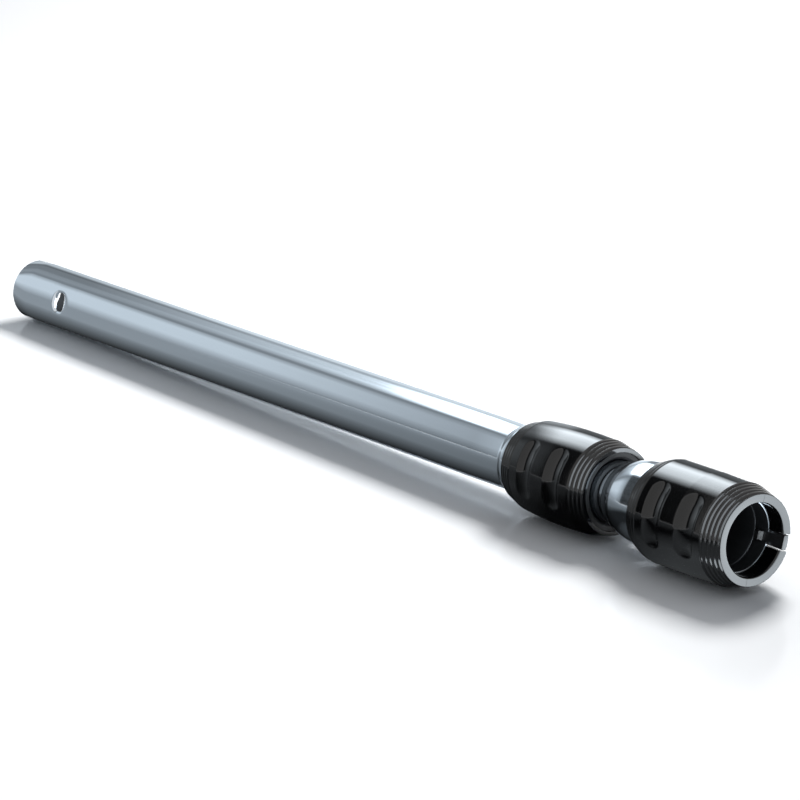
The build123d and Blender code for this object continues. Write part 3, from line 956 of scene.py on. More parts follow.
@dataclass
class LowerTube:
    """The chromed lower tube with its belled end and its pressed latch hole."""

    kit: Kit
    bell_ramp_x: float = 447.5
    bell_x: float = 452.5
    bell_end_x: float = 470.0
    latch_edge: float = 43.0
    latch_width: float = 7.2
    latch_around: float = 11.0
    rim_lead: float = 2.0
    rim_width: float = 16.0
    rim_around: float = 15.6
    press: float = 2.0
    window: Triple = (36.0, 62.0, 11.0)
    window_rows: int = 14
    rim_power: float = 2.2
    hole_power: float = 3.2
    lip: float = 0.2
    stations: int = 192

    def profile(self, along: Array) -> Array:
        """Outer radius: the plain tube, then an S-shaped ramp up to the bell."""
        s = self.kit.sizes
        return s.tube_r + (s.bell_r - s.tube_r) * eased(along, self.bell_ramp_x, self.bell_x)

    def outline(self, turn: Array, low: float, high: float, around: float, power: float) -> Array:
        """Rounded rectangle in (along, across) met by rays from the hole's middle at the given angles.

        The ray's length is the longest that stays inside the super-ellipse of the given power.

        Args:
            turn: the rays' angles.
            low: where the rectangle begins along the tube.
            high: where it ends.
            around: half of its width across.
            power: the higher, the squarer its corners.

        Returns:
            Points as (along, across) rows.
        """
        centre = self.latch_edge + self.latch_width / 2
        c, s = np.cos(turn), np.sin(turn)
        reach_x = np.where(c > 0, high - centre, centre - low)
        length = super_ellipse(c / reach_x, s / around, power)
        return np.stack([centre + length * c, length * s], axis=-1)

    def grid(self) -> tuple[Array, Array]:
        """Places along the tube and angles round it, which are closer together at the window.

        Returns:
            The places, and the angles from one side of the window round to that side again.
        """
        low, high, half = self.window
        along = np.unique(np.concatenate([
            np.linspace(0.0, low, 4), np.linspace(low, high, 15), np.linspace(high, self.bell_ramp_x, 20),
            np.linspace(self.bell_ramp_x, self.bell_x, 13), np.linspace(self.bell_x, self.bell_end_x, 4)]))
        reach = half / self.kit.sizes.tube_r
        near = np.linspace(-reach, reach, self.window_rows + 1)
        far = np.linspace(reach, TURN - reach, self.stations - self.window_rows + 1)[1:-1]
        return along, np.concatenate([near, far]) + Side.LATCH.value

    def patch(self, edge: Array) -> Skin:
        """Rings of points that go from the window's border to the rim of the pressing and on to the hole.

        From the rim on, each point moves from the tube's round side to a flat at the pressing's depth, by a
        share that grows with its place between rim and hole.

        Args:
            edge: points of the window's border, as (along, across) rows.

        Returns:
            The points, without faces.
        """
        tube_r = self.kit.sizes.tube_r
        turn = np.arctan2(edge[:, 1], edge[:, 0] - (self.latch_edge + self.latch_width / 2))
        rim_low, hole_low = self.latch_edge - self.rim_lead, self.latch_edge
        rim = self.outline(turn, rim_low, rim_low + self.rim_width, self.rim_around / 2, self.rim_power)
        hole_high = hole_low + self.latch_width
        hole = self.outline(turn, hole_low, hole_high, self.latch_around / 2, self.hole_power)
        outer_steps, inner_steps = 3, 12
        outer = [edge + (rim - edge) * (k / outer_steps) for k in range(1, outer_steps + 1)]
        shares = [k / inner_steps for k in range(1, inner_steps + 1)]
        ring = np.concatenate(outer + [rim + (hole - rim) * share for share in shares])
        share = np.repeat([0.0] * outer_steps + shares, len(edge))
        pressed = share**1.25 * (1.0 - 0.25 * (1.0 - share))
        across = ring[:, 1]
        surface = np.sqrt(tube_r**2 - np.clip(across, 1 - tube_r, tube_r - 1) ** 2)
        plain_y, plain_z = tube_r * np.cos(across / tube_r), tube_r * np.sin(across / tube_r)
        flat_y = np.minimum(tube_r - self.press, surface)
        y = plain_y + (flat_y - plain_y) * pressed
        z = plain_z + (across - plain_z) * pressed
        return Skin(ring[:, 0], np.hypot(y, z), Side.LATCH.value + np.arctan2(z, y))

    def build(self) -> bpy.types.Object:
        """The tube's outside as a grid with a window, and the patch that leads from it to the hole.

        Returns:
            The tube, given its wall by a Solidify modifier.
        """
        s = self.kit.sizes
        places, angles = self.grid()
        angle, along = (grid.ravel() for grid in np.meshgrid(angles, places, indexing="ij"))
        columns = len(places)
        quads = ring_faces(len(angles), columns, True, False)
        row, column = np.divmod(quads[:, 0], columns)
        first, last = np.searchsorted(places, self.window[:2])
        hidden = (row < self.window_rows) & (column >= first) & (column < last)
        border = np.concatenate([
            np.arange(first, last), np.arange(self.window_rows) * columns + last,
            self.window_rows * columns + np.arange(last, first, -1),
            np.arange(self.window_rows, 0, -1) * columns + first])
        across = (angle[border] - Side.LATCH.value) * s.tube_r
        patch = self.patch(np.stack([along[border], across], axis=-1))
        numbers = np.concatenate([border, len(along) + np.arange(len(patch.along))])
        rings = len(numbers) // len(border)
        skin = Skin(
            np.concatenate([along, patch.along]), np.concatenate([self.profile(along), patch.radius]),
            np.concatenate([angle, patch.angle]),
            [quads[~hidden], numbers[ring_faces(rings, len(border), False, True)]])
        piece = skin.build("chromed_lower_tube", self.kit.lay)
        wall_off(piece, s.wall, self.lip)
        return self.kit.fit(piece, "chrome_tube", "lower", "outer_tube")


def wall_off(piece: bpy.types.Object, wall: float, lip: float) -> None:
    """Gives an open skin its wall, inwards, and rounds the rims of the wall.

    Args:
        piece: the skin, whose faces point outwards.
        wall: thickness of the wall in millimetres.
        lip: radius of the rounded rims in millimetres.
    """
    solid = piece.modifiers.new("wall", "SOLIDIFY")
    solid.thickness = wall * MM
    solid.offset = -1.0
    solid.use_even_offset = True
    soften = piece.modifiers.new("lip", "BEVEL")
    soften.width = lip * MM
    soften.segments = 2
    soften.limit_method = "ANGLE"
    soften.angle_limit = math.radians(50.0)
    soften.use_clamp_overlap = True


@dataclass
class LockSleeve:
    """The sliding lock sleeve of the lower tube, with its end ring."""

    kit: Kit
    bore_r: float = 20.3
    lip: float = 1.7
    left_r: float = 21.3
    shoulder: float = 8.7
    shoulder_r: float = 23.85
    barrel_r: float = 25.05
    nose: float = 10.5
    nose_r: float = 24.6
    right_r: float = 22.5
    ring_x: float = 512.0
    ring_bore_r: float = 16.5
    pocket: tuple[float, float, float, float] = (472.3, 489.7, 5.3, 23.7)
    shoulder_grooves: Grooves = Grooves(1.4, 2.45, 4, 1.1, 0.45)
    nose_grooves: Grooves = Grooves(1.9, 2.6, 4, 1.35, 0.65)
    trough_shares: tuple[float, float] = (0.318, 0.658)
    trough_width: float = 12.3
    stations: int = 320

    def troughs(self) -> list[Trough]:
        """Two finger grooves on the latch side and two on the lever side.

        Returns:
            The grooves, at shares of the sleeve's length.
        """
        s = self.kit.sizes
        places = [s.sleeve_x + share * s.sleeve_length for share in self.trough_shares]
        return [Trough(x, self.trough_width, side) for x in places for side in (Side.LATCH, Side.LEVER)]

    def section(self) -> Array:
        """Closed section: ribbed shoulder, swelling barrel, ribbed nose, then back along the bore.

        The barrel is a parabola over the chord from the shoulder to the nose.

        Returns:
            Points as (along, radius) rows.
        """
        s = self.kit.sizes
        start, end = s.sleeve_x, s.sleeve_x + s.sleeve_length
        knee, taper = start + self.shoulder, end - self.nose
        share = np.linspace(0.0, 1.0, 25)[1:-1]
        chord = self.shoulder_r + (self.nose_r - self.shoulder_r) * share
        rise = self.barrel_r - 0.5 * (self.shoulder_r + self.nose_r)
        barrel = [(knee + (taper - knee) * u, c + rise * 4 * u * (1 - u), 0.0) for u, c in zip(share, chord)]
        outside = rounded([
            (start, 0.0, 0.0), (start, self.left_r, 0.3), (knee, self.shoulder_r, 10.0), *barrel[1:],
            (taper, self.nose_r, 1.0), (end, self.right_r, 0.25), (end, 0.0, 0.0)], 8)[1:-1]
        outside = self.nose_grooves.cut(self.shoulder_grooves.cut(outside, start), taper)
        low, high, _, _ = self.pocket
        inside = [
            (end, self.bore_r), (high, self.bore_r), (high - 0.02, self.bore_r), (low + 0.02, self.bore_r),
            (low, self.bore_r), (start + self.lip, self.bore_r), (start + self.lip, s.bell_r + 0.4),
            (start + 0.2, s.bell_r + 0.4), (start, s.bell_r + 0.6)]
        return np.concatenate([outside, np.array(inside)])

    def rule(self, along: Array, radius: Array, angle: Array) -> Array:
        """Presses the finger grooves into the outside and the cam's pocket into the bore.

        The pocket's floor is flat: its radius is the floor's height over the sine of the angle.

        Args:
            along: distance along the axis.
            radius: radius before the pressing.
            angle: angle round the axis.

        Returns:
            The new radius.
        """
        low, high, half, floor = self.pocket
        inside = (radius <= self.bore_r + OVER_BORE) & (along > low + 0.01) & (along < high - 0.01)
        inside &= (np.sin(angle) < 0.0) & (np.abs(self.bore_r * np.cos(angle)) < half)
        radius = press_troughs(self.troughs(), self.barrel_r, self.bore_r, along, radius, angle)
        return np.where(inside, floor / np.maximum(-np.sin(angle), 0.5), radius)

    def build(self) -> None:
        """The sleeve as one closed skin, and the ring in its end."""
        s = self.kit.sizes
        section = densified(self.section(), CHORD, s.sleeve_x + 10.0, s.sleeve_x + 52.0, self.bore_r + 1.0)
        sleeve = turned(section, self.stations, self.rule)
        self.kit.add(sleeve, "ribbed_lock_sleeve", "black_gloss", "sleeve", "lock_sleeve")
        end = s.sleeve_x + s.sleeve_length - 0.8
        ring = rounded([
            (self.ring_x, self.ring_bore_r, 0.3), (self.ring_x, self.bore_r - 0.05, 0.2),
            (end, self.bore_r - 0.05, 0.2), (end, self.ring_bore_r + 1.2, 0.4),
            (end - 1.2, self.ring_bore_r, 0.4)])
        self.kit.add(turned(ring, 128), "sleeve_end_closure", "black_satin", "sleeve", "sleeve_end_ring")


@dataclass
class UpperTube:
    """The chromed upper tube with its notches and its widened socket, and the cup round its neck."""

    kit: Kit
    tail_x: float = 61.8
    plain_x: float = 484.0
    cone_x: float = 552.7
    socket_x: float = 558.7
    flare_x: float = 600.5
    flare_ramp: float = 0.8
    flare_rise: float = 0.4
    rim_x: float = 610.5
    notch_first: float = 116.2
    notch_pitch: float = 20.0
    notch_count: int = 19
    notch_length: float = 7.0
    notch_depth: float = 1.3
    notch_ramp: float = 0.6
    lip: float = 0.18
    slot: Slot = Slot(601.3, 2.65)
    side_rows: int = 176
    slot_rows: int = 6
    cup_end_x: float = 563.0
    cup_seat: float = 1.2
    cup_ramp: float = 13.5
    cup_round: float = 40.0
    cup_r: float = 21.3
    cup_wall: float = 0.9

    def notch_rule(self, along: Array, radius: Array, angle: Array) -> Array:
        """Presses the flat-bottomed notches: their floor is a chord at one depth under the tube's side.

        Args:
            along: distance along the axis.
            radius: radius before the pressing.
            angle: angle round the axis.

        Returns:
            The new radius.
        """
        s = self.kit.sizes
        offset = (along - self.notch_first + self.notch_pitch / 2) % self.notch_pitch - self.notch_pitch / 2
        last = self.notch_first + self.notch_pitch * (self.notch_count - 1)
        reach = (along > self.notch_first - 5.0) & (along < last + 5.0)
        ramp = self.notch_ramp
        share = np.clip((self.notch_length / 2 + ramp / 2 - np.abs(offset)) / ramp, 0.0, 1.0) * reach
        share = share * share * (3 - 2 * share)
        down = -np.sin(angle)
        chord = (s.upper_r - self.notch_depth) / np.maximum(down, 0.5)
        floor = np.where(down > 0.5, np.minimum(radius, chord), radius)
        return radius + (floor - radius) * share

    def build(self) -> None:
        """The tube's outside as an open grid with a slot in its rim, then its wall; and the cup."""
        s = self.kit.sizes
        notch = self.notch_first + self.notch_pitch * np.arange(self.notch_count)[:, None]
        ramp = np.array([-3.9, -3.65, -3.5, -3.2, -2.0, 0.0, 2.0, 3.2, 3.5, 3.65, 3.9])
        along = np.unique(np.concatenate([
            np.linspace(self.tail_x, self.notch_first - 8, 4), (notch + ramp).ravel(),
            np.linspace(self.plain_x, self.cone_x, 8), np.linspace(self.cone_x, self.socket_x, 9),
            np.linspace(self.socket_x, self.flare_x, 6), np.linspace(self.flare_x, self.slot.start, 5),
            np.linspace(self.slot.start, self.rim_x, 6)]))
        profile = s.upper_r + (s.socket_r - s.upper_r) * eased(along, self.cone_x, self.socket_x)
        profile = profile + self.flare_rise * eased(along, self.flare_x, self.flare_x + self.flare_ramp)
        edge = self.slot.edge(profile)
        side = edge + (TURN - 2 * edge) * np.linspace(0.0, 1.0, self.side_rows + 1)[:, None]
        angle = np.concatenate([side, self.slot.bridge(profile, self.slot_rows)])
        grid_along = np.broadcast_to(along, angle.shape)
        radius = self.notch_rule(grid_along, np.broadcast_to(profile, angle.shape).copy(), angle)
        rows, columns = angle.shape
        quads = ring_faces(rows, columns, True, False)
        row, column = np.divmod(quads[:, 0], columns)
        cut = (row >= self.side_rows) & (along[column] >= self.slot.start - HAIR)
        tube = Skin(grid_along, radius, angle, [quads[~cut]]).build("chromed_upper_tube", self.kit.lay)
        wall_off(tube, s.wall, self.lip)
        self.kit.fit(tube, "chrome_tube", "upper", "inner_tube")
        self.build_cup()

    def build_cup(self) -> None:
        """Drawn cup that swells to its full width in a long round shoulder, one closed skin."""
        s = self.kit.sizes
        hole, full = s.upper_r + 0.05, s.neck_x + self.cup_ramp
        cup = rounded([
            (s.neck_x, hole, 0.1), (s.neck_x, hole + self.cup_wall, 0.4), (full, self.cup_r, self.cup_round),
            (self.cup_end_x, self.cup_r, 0.2), (self.cup_end_x, self.cup_r - self.cup_wall, 0.2),
            (full, self.cup_r - self.cup_wall, self.cup_round - self.cup_wall),
            (s.neck_x + self.cup_seat, hole, 0.1)], 16)
        self.kit.add(turned(cup, 192), "drawn_neck_cup", "chrome_cup", "upper", "neck_cup")


@dataclass
class HandleSleeve:
    """The handle sleeve, the two halves of its nose and the release lever."""

    kit: Kit
    bore_r: float = 23.0
    lip_r: float = 21.4
    left_r: float = 23.9
    end_r: float = 26.0
    shoulder: float = 6.7
    taper: float = 19.0
    slot: Slot = Slot(577.3, 4.25)
    half_x: float = 563.4
    half_r: float = 22.9
    half_bore_r: float = 18.5
    mouth_r: float = 22.9
    mouth_bore_r: float = 18.3
    rim_x: float = 610.5
    relief_x: float = 600.4
    relief_r: float = 18.9
    shoulder_grooves: Grooves = Grooves(1.4, 2.35, 4, 1.1, 0.45)
    nose_grooves: Grooves = Grooves(1.2, 2.4, 5, 1.3, 0.65)
    trough_rows: tuple[tuple[float, float], ...] = ((20.0, 12.3), (43.8, 14.2))
    stations: int = 320
    half_stations: int = 96

    def troughs(self) -> list[Trough]:
        """Two finger grooves on the latch side, by their place along the grip and their width."""
        return [Trough(self.kit.sizes.grip_x + x, width, Side.LATCH) for x, width in self.trough_rows]

    def rule(self, along: Array, radius: Array, angle: Array) -> Array:
        """Presses the finger grooves into the outside."""
        return press_troughs(self.troughs(), self.kit.sizes.grip_r, self.bore_r, along, radius, angle)

    def build(self) -> None:
        """The sleeve, its halves and its lever."""
        s = self.kit.sizes
        outside = rounded([
            (s.grip_x, 0.0, 0.0), (s.grip_x, self.left_r, 0.3), (s.grip_x + self.shoulder, s.grip_r, 14.0),
            (self.slot.start, s.grip_r, 0.0), (s.nose_x - self.taper, s.grip_r, 8.0),
            (s.nose_x, self.end_r, 0.15), (s.nose_x, 0.0, 0.0)], 8)[1:-1]
        outside = self.shoulder_grooves.cut(outside, s.grip_x)
        inside = [
            (s.nose_x, self.bore_r), (self.slot.start, self.bore_r), (s.grip_x + 2.6, self.bore_r),
            (s.grip_x + 2.6, self.lip_r), (s.grip_x, self.lip_r)]
        section = np.concatenate([outside, np.array(inside)])
        section = densified(section, CHORD, s.grip_x + 10.0, s.nose_x - 1.0, self.bore_r + 1.0)
        sleeve = slotted(section, self.slot, self.stations, 1.0, self.rule)
        self.kit.add(sleeve, "grooved_handle_sleeve", "black_gloss", "upper", "handle_sleeve")
        self.build_halves()
        LeverForm(self.kit).build()

    def nose_section(self) -> Array:
        """Closed section of a half: the liner in the sleeve, the stepped nose and the mouth's face.

        Returns:
            Points as (along, radius) rows.
        """
        s = self.kit.sizes
        start = s.nose_x + 0.1
        outside = rounded([
            (self.half_x, 0.0, 0.0), (self.half_x, self.half_r, 0.3), (self.slot.start, self.half_r, 0.0),
            (start, self.half_r, 0.0), (start, self.end_r, 0.15), (s.mouth_x - 0.2, self.mouth_r, 0.35),
            (s.mouth_x - 0.5, self.mouth_bore_r + 0.5, 0.5), (s.mouth_x - 1.6, self.mouth_bore_r, 0.5),
            (self.rim_x + 0.1, self.mouth_bore_r, 0.0)], 8)[1:]
        nose = np.flatnonzero((outside[:, 1] > self.mouth_r - 0.6) & (outside[:, 0] >= start))
        flank = outside[nose[0] + 1:nose[-1] + 1]
        flank = flank[np.concatenate([[True], np.diff(flank[:, 0]) > HAIR])]
        flank = self.nose_grooves.cut(flank, s.nose_x)
        inside = [
            (self.rim_x + 0.1, self.relief_r), (self.relief_x, self.relief_r),
            (self.relief_x, self.half_bore_r), (self.slot.start, self.half_bore_r),
            (self.half_x, self.half_bore_r)]
        return np.concatenate([outside[:nose[0] + 1], flank, outside[nose[-1] + 1:], np.array(inside)])

    def build_halves(self) -> None:
        """Front and rear half, closed at their seams, the rear one slotted for the lever."""
        section = self.nose_section()
        front = shell_half(section, self.half_stations, Side.LATCH.value)
        self.kit.add(front, "nose_half_front", "black_nose", "upper", "socket_half_front")
        rear = slotted(section, self.slot, self.half_stations, 0.5)
        self.kit.add(rear, "nose_half_rear", "black_nose", "upper", "socket_half_rear")


@dataclass
class LeverForm:
    """The release lever: a bar whose cross-section changes along it, with a catch nub underneath."""

    kit: Kit
    start: float = 578.5
    length: float = 41.9
    half_width: float = 3.75
    pivot_x: float = 592.0
    top_r: float = 25.7
    front_r: float = 22.3
    under_r: float = 19.1
    pad_under_r: float = 21.0
    nub_x: float = 605.3
    nub_tip_r: float = 15.9
    nub_half: float = 2.3
    nub_round: float = 0.25
    dish_x: float = 599.5
    dish_reach: float = 7.0
    dish_depth: float = 0.5
    rib_start: float = 1.8
    rib_end: float = 9.0
    rib_pitch: float = 2.4
    rib_depth: float = 0.28
    boss_r: float = 2.0
    boss_base_r: float = 20.7
    end_round: float = 0.35
    squareness: float = 9.0
    crown_r: float = 25.0
    corners: int = 28
    fine_end_x: float = 590.0

    def ends(self, x: Array) -> Array:
        """How far the bar is drawn in at each place, a quarter circle at both of its ends."""
        past = np.clip(self.end_round - np.minimum(x - self.start, self.start + self.length - x), 0, None)
        return self.end_round - np.sqrt(np.clip(self.end_round**2 - past**2, 0, None))

    def top(self, x: Array) -> Array:
        """Height of the top, which falls away in front.

        A parabola makes the dish for the thumb, and a cosine the ribs behind it.

        Args:
            x: places along the lever.

        Returns:
            Distances from the wand's axis.
        """
        nose_x, end = self.kit.sizes.nose_x, self.start + self.length
        fall = (self.front_r - self.top_r) * (x - nose_x) / (end - nose_x)
        plain = np.where(x < nose_x, self.top_r, self.top_r + fall)
        dish = np.clip(1.0 - ((x - self.dish_x) / self.dish_reach) ** 2, 0.0, 1.0)
        ribbed = (x > self.start + self.rib_start) & (x < self.start + self.rib_end)
        rib = 0.5 - 0.5 * np.cos(TURN * (x - self.start - self.rib_start) / self.rib_pitch)
        return plain - self.dish_depth * dish**1.5 - self.rib_depth * rib * ribbed

    def under(self, x: Array) -> Array:
        """Height of the underside, which has a round boss at the pivot.

        Args:
            x: places along the lever.

        Returns:
            Distances from the wand's axis.
        """
        ramp = np.clip((x - (self.pivot_x - 2.0)) / 5.0, 0.0, 1.0)
        plain = self.pad_under_r + (self.under_r - self.pad_under_r) * ramp
        boss = self.boss_r**2 - (x - self.pivot_x) ** 2
        round_under = np.minimum(plain, self.boss_base_r - np.sqrt(np.clip(boss, 0, None)))
        return np.where(boss > 0, round_under, plain)

    def bar(self) -> Skin:
        """Cross-sections at stations along the lever, each a super-ellipse with a crowned top.

        Returns:
            The closed skin.
        """
        nose_x, end = self.kit.sizes.nose_x, self.start + self.length
        tip = self.end_round * (1 - np.cos(np.linspace(0, math.pi / 2, 5)))
        x = np.unique(np.concatenate([
            self.start + tip, np.linspace(self.start + 0.4, self.fine_end_x, 48),
            np.linspace(self.fine_end_x, nose_x, 40),
            np.linspace(nose_x, end - 0.4, 14), end - tip]))
        top, under, inset = self.top(x), self.under(x), self.ends(x)
        around = np.linspace(0.0, TURN, self.corners + 1)[:-1] + TURN / (2 * self.corners)
        c, s = np.cos(around), np.sin(around)
        scale = super_ellipse(c, s, self.squareness)
        half_height = (0.5 * (top - under) - inset)[:, None]
        z = (self.half_width - inset)[:, None] * scale * c
        y = (0.5 * (top + under))[:, None] + half_height * scale * s
        y = y - np.where(s > 0, z**2 / (2 * self.crown_r), 0.0)
        along = np.broadcast_to(x[:, None], y.shape)
        return Skin(along.ravel(), np.hypot(y, z).ravel(), np.arctan2(z, y).ravel(), bar_faces(*y.shape))

    def build(self) -> bpy.types.Object:
        """The bar and the nub's block as one piece.

        Returns:
            The lever.
        """
        bar = self.bar()
        nub = self.nub(len(bar.along))
        whole = Skin(
            np.concatenate([bar.along, nub.along]), np.concatenate([bar.radius, nub.radius]),
            np.concatenate([bar.angle, nub.angle]), bar.faces + nub.faces)
        return self.kit.add(whole, "thumb_release_lever", "black_lever", "lever", "release_lever")

    def nub(self, first: int) -> Skin:
        """Catch nub: a block steep towards the tube and sloped towards the mouth, sunk into the lever.

        Its outline is carried across, and its two end faces are drawn in towards the outline's middle.

        Args:
            first: number of the block's first vertex.

        Returns:
            The closed skin, with flat arrays.
        """
        half = self.nub_half
        outline = rounded([
            (self.nub_x - half, self.under_r + 0.4, 0.0), (self.nub_x - half, self.nub_tip_r, 0.4),
            (self.nub_x + 0.5, self.nub_tip_r, 0.4), (self.nub_x + half, self.nub_tip_r + 1.7, 0.3),
            (self.nub_x + half, self.under_r + 0.4, 0.0)], 3)
        z = np.array([-half, self.nub_round - half, half - self.nub_round, half])
        shrink = np.array([self.nub_round, 0.0, 0.0, self.nub_round])
        inwards = outline.mean(axis=0) - outline
        inwards /= np.linalg.norm(inwards, axis=1)[:, None]
        pulled = outline[None] + inwards[None] * shrink[:, None, None]
        across = np.broadcast_to(z[:, None], pulled.shape[:2])
        faces = [first + block for block in bar_faces(*across.shape)]
        y = pulled[..., 1]
        return Skin(pulled[..., 0].ravel(), np.hypot(y, across).ravel(), np.arctan2(across, y).ravel(), faces)


def staged_sheet(name: str, finish: str, corners: Array) -> tuple[bpy.types.Object, Bench]:
    """Four-cornered sheet of the studio, with the bench of its own material.

    Args:
        name: name of the piece.
        finish: name of its material.
        corners: the corners in metres, one row each.

    Returns:
        The staged piece and the bench.
    """
    mesh = bpy.data.meshes.new(name)
    mesh.from_pydata(corners.tolist(), [], [(0, 1, 2, 3)])
    piece = linked(name, mesh)
    material, bench = new_material(finish)
    mesh.materials.append(material)
    piece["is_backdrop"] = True
    return piece, bench


@dataclass(frozen=True)
class Ramp:
    """Level that changes evenly from start to end, from its first value to its last."""

    start: float
    end: float
    first: float
    last: float

    def on(self, place: Wire) -> Wire:
        """The level at the places that a wire gives."""
        return place.bench.spread(place, self.start, self.end, self.first, self.last)


@dataclass(frozen=True)
class Card:
    """A card of the studio that only mirror-like reflections see, and only from its front."""

    name: str
    low: Triple
    high: Triple

    def level(self, x: Wire, y: Wire, z: Wire) -> Any:
        """Brightness of the card at a place on it; each kind of card has its own."""
        raise NotImplementedError

    def cover(self, y: Wire, z: Wire) -> Any:
        """How much of what is behind the card it covers at a place."""
        return 1.0

    def build(self) -> None:
        """A rectangle between the card's two corners, with its own emission."""
        low, high = np.array(self.low), np.array(self.high)
        flat = int(np.argmin(np.abs(high - low)))
        first = 1 if flat == 0 else 0
        corners = np.array([low, low, high, high])
        corners[1, first], corners[3, first] = high[first], low[first]
        piece, bench = staged_sheet(self.name, self.name, corners)
        x, y, z = bench.axes()
        glow = bench.wire("ShaderNodeEmission", {}, {"Color": CARD_TINT, "Strength": self.level(x, y, z)})
        clear = bench.wire("ShaderNodeBsdfTransparent")
        shown = (1.0 - bench.wire("ShaderNodeNewGeometry", output="Backfacing")) * self.cover(y, z)
        mixed = bench.wire("ShaderNodeMixShader", {}, {0: shown, 1: clear, 2: glow})
        bench.node("ShaderNodeOutputMaterial", {}, {"Surface": mixed})
        piece.visible_camera = False
        piece.visible_diffuse = False
        piece.visible_shadow = False


@dataclass(frozen=True)
class Softbox(Card):
    """Evenly bright card."""

    strength: float = 8.0

    def level(self, x: Wire, y: Wire, z: Wire) -> float:
        """The same all over."""
        return self.strength


@dataclass(frozen=True)
class Tone:
    """One field of the backdrop: where it lies round the wand's axis and how bright it is outwards.

    Places round the axis are in degrees from straight up towards the front, and places outwards are in
    metres from the axis. The ramps round the axis are multiplied, and so are the ones outwards, unless
    they are to be added.
    """

    turn: tuple[Ramp, ...]
    out: tuple[Ramp, ...]
    added: bool = False

    def level(self, turn: Wire, out: Wire) -> Wire:
        """Brightness of the field at a place.

        Args:
            turn: how far round the axis the place lies.
            out: how far from the axis it lies.

        Returns:
            The brightness.
        """
        round_axis = math.prod(ramp.on(turn) for ramp in self.turn)
        outwards = [ramp.on(out) for ramp in self.out]
        return round_axis * (sum(outwards) if self.added else math.prod(outwards))


SOFTBOX_TONE = Tone((Ramp(-60.0, -42.0, 0.0, 1.0), Ramp(-14.0, 6.0, 1.0, 0.0)),
                    (Ramp(0.48, 0.8, 0.3, 1.1), Ramp(0.8, 0.98, 0.0, 8.0)), added=True)
GAP_TONE = Tone((Ramp(-20.0, 0.0, 0.0, 1.0), Ramp(14.0, 28.0, 1.0, 0.0)), (Ramp(0.98, 1.02, 0.35, 0.06),))
FRONT_TONE = Tone((Ramp(12.0, 28.0, 0.0, 1.0), Ramp(62.0, 95.0, 1.0, 0.4)),
                  (Ramp(0.65, 0.975, 1.0, 0.5), Ramp(0.99, 1.03, 1.0, 0.1)))
BACK_TONE = Tone((Ramp(-66.0, -50.0, 1.0, 0.0),),
                 (Ramp(0.48, 0.62, 0.75, 1.05), Ramp(0.98, 1.03, 1.0, 0.35)))


@dataclass(frozen=True)
class Backdrop(Card):
    """Big upright card beyond the wand's lower end, which the sides of the wand mirror.

    Its tones are a softbox above and behind, a dark gap, a bright band in front and a light back. Places
    further out from the wand's axis are seen by the wand's near end.
    """

    tones: tuple[Tone, ...] = (SOFTBOX_TONE, GAP_TONE, FRONT_TONE, BACK_TONE)
    border: Ramp = Ramp(1.34, 1.39, 1.0, 0.0)

    def out(self, y: Wire, z: Wire) -> Wire:
        """Distance from the wand's axis, the root of y squared plus z squared."""
        return y.bench.calculate("POWER", y * y + z * z, 0.5)

    def cover(self, y: Wire, z: Wire) -> Wire:
        """The card ends in a round border."""
        return self.border.on(self.out(y, z))

    def level(self, x: Wire, y: Wire, z: Wire) -> Wire:
        """Sum of the tones.

        Args:
            x: place along the wand, which changes nothing here.
            y: place across the wand.
            z: height.

        Returns:
            The brightness.
        """
        turn = y.bench.calculate("ARCTAN2", y * -1.0, z) * (360.0 / TURN)
        out = self.out(y, z)
        return sum(tone.level(turn, out) for tone in self.tones)


@dataclass(frozen=True)
class PaintedFloorShade(Card):
    """Card just over the floor in front of the wand, for what its lower side mirrors: a floor with the wand's
    shadow painted on it.
    """

    # Painted shadow of the wand on the floor, dark close beside it.
    away: Ramp = Ramp(-0.038, -0.008, 1.0, 0.05)
    tube: tuple[Ramp, Ramp] = (Ramp(0.1, 0.42, 0.46, 0.23), Ramp(0.43, 0.48, 1.0, 0.1))
    handle: Ramp = Ramp(0.52, 0.58, 0.0, 0.5)

    def level(self, x: Wire, y: Wire, z: Wire) -> Wire:
        """Painted shadow: dark beside the wand, grey further off, and brighter in front of the handle."""
        return self.away.on(y) * (self.tube[0].on(x) * self.tube[1].on(x) + self.handle.on(x))


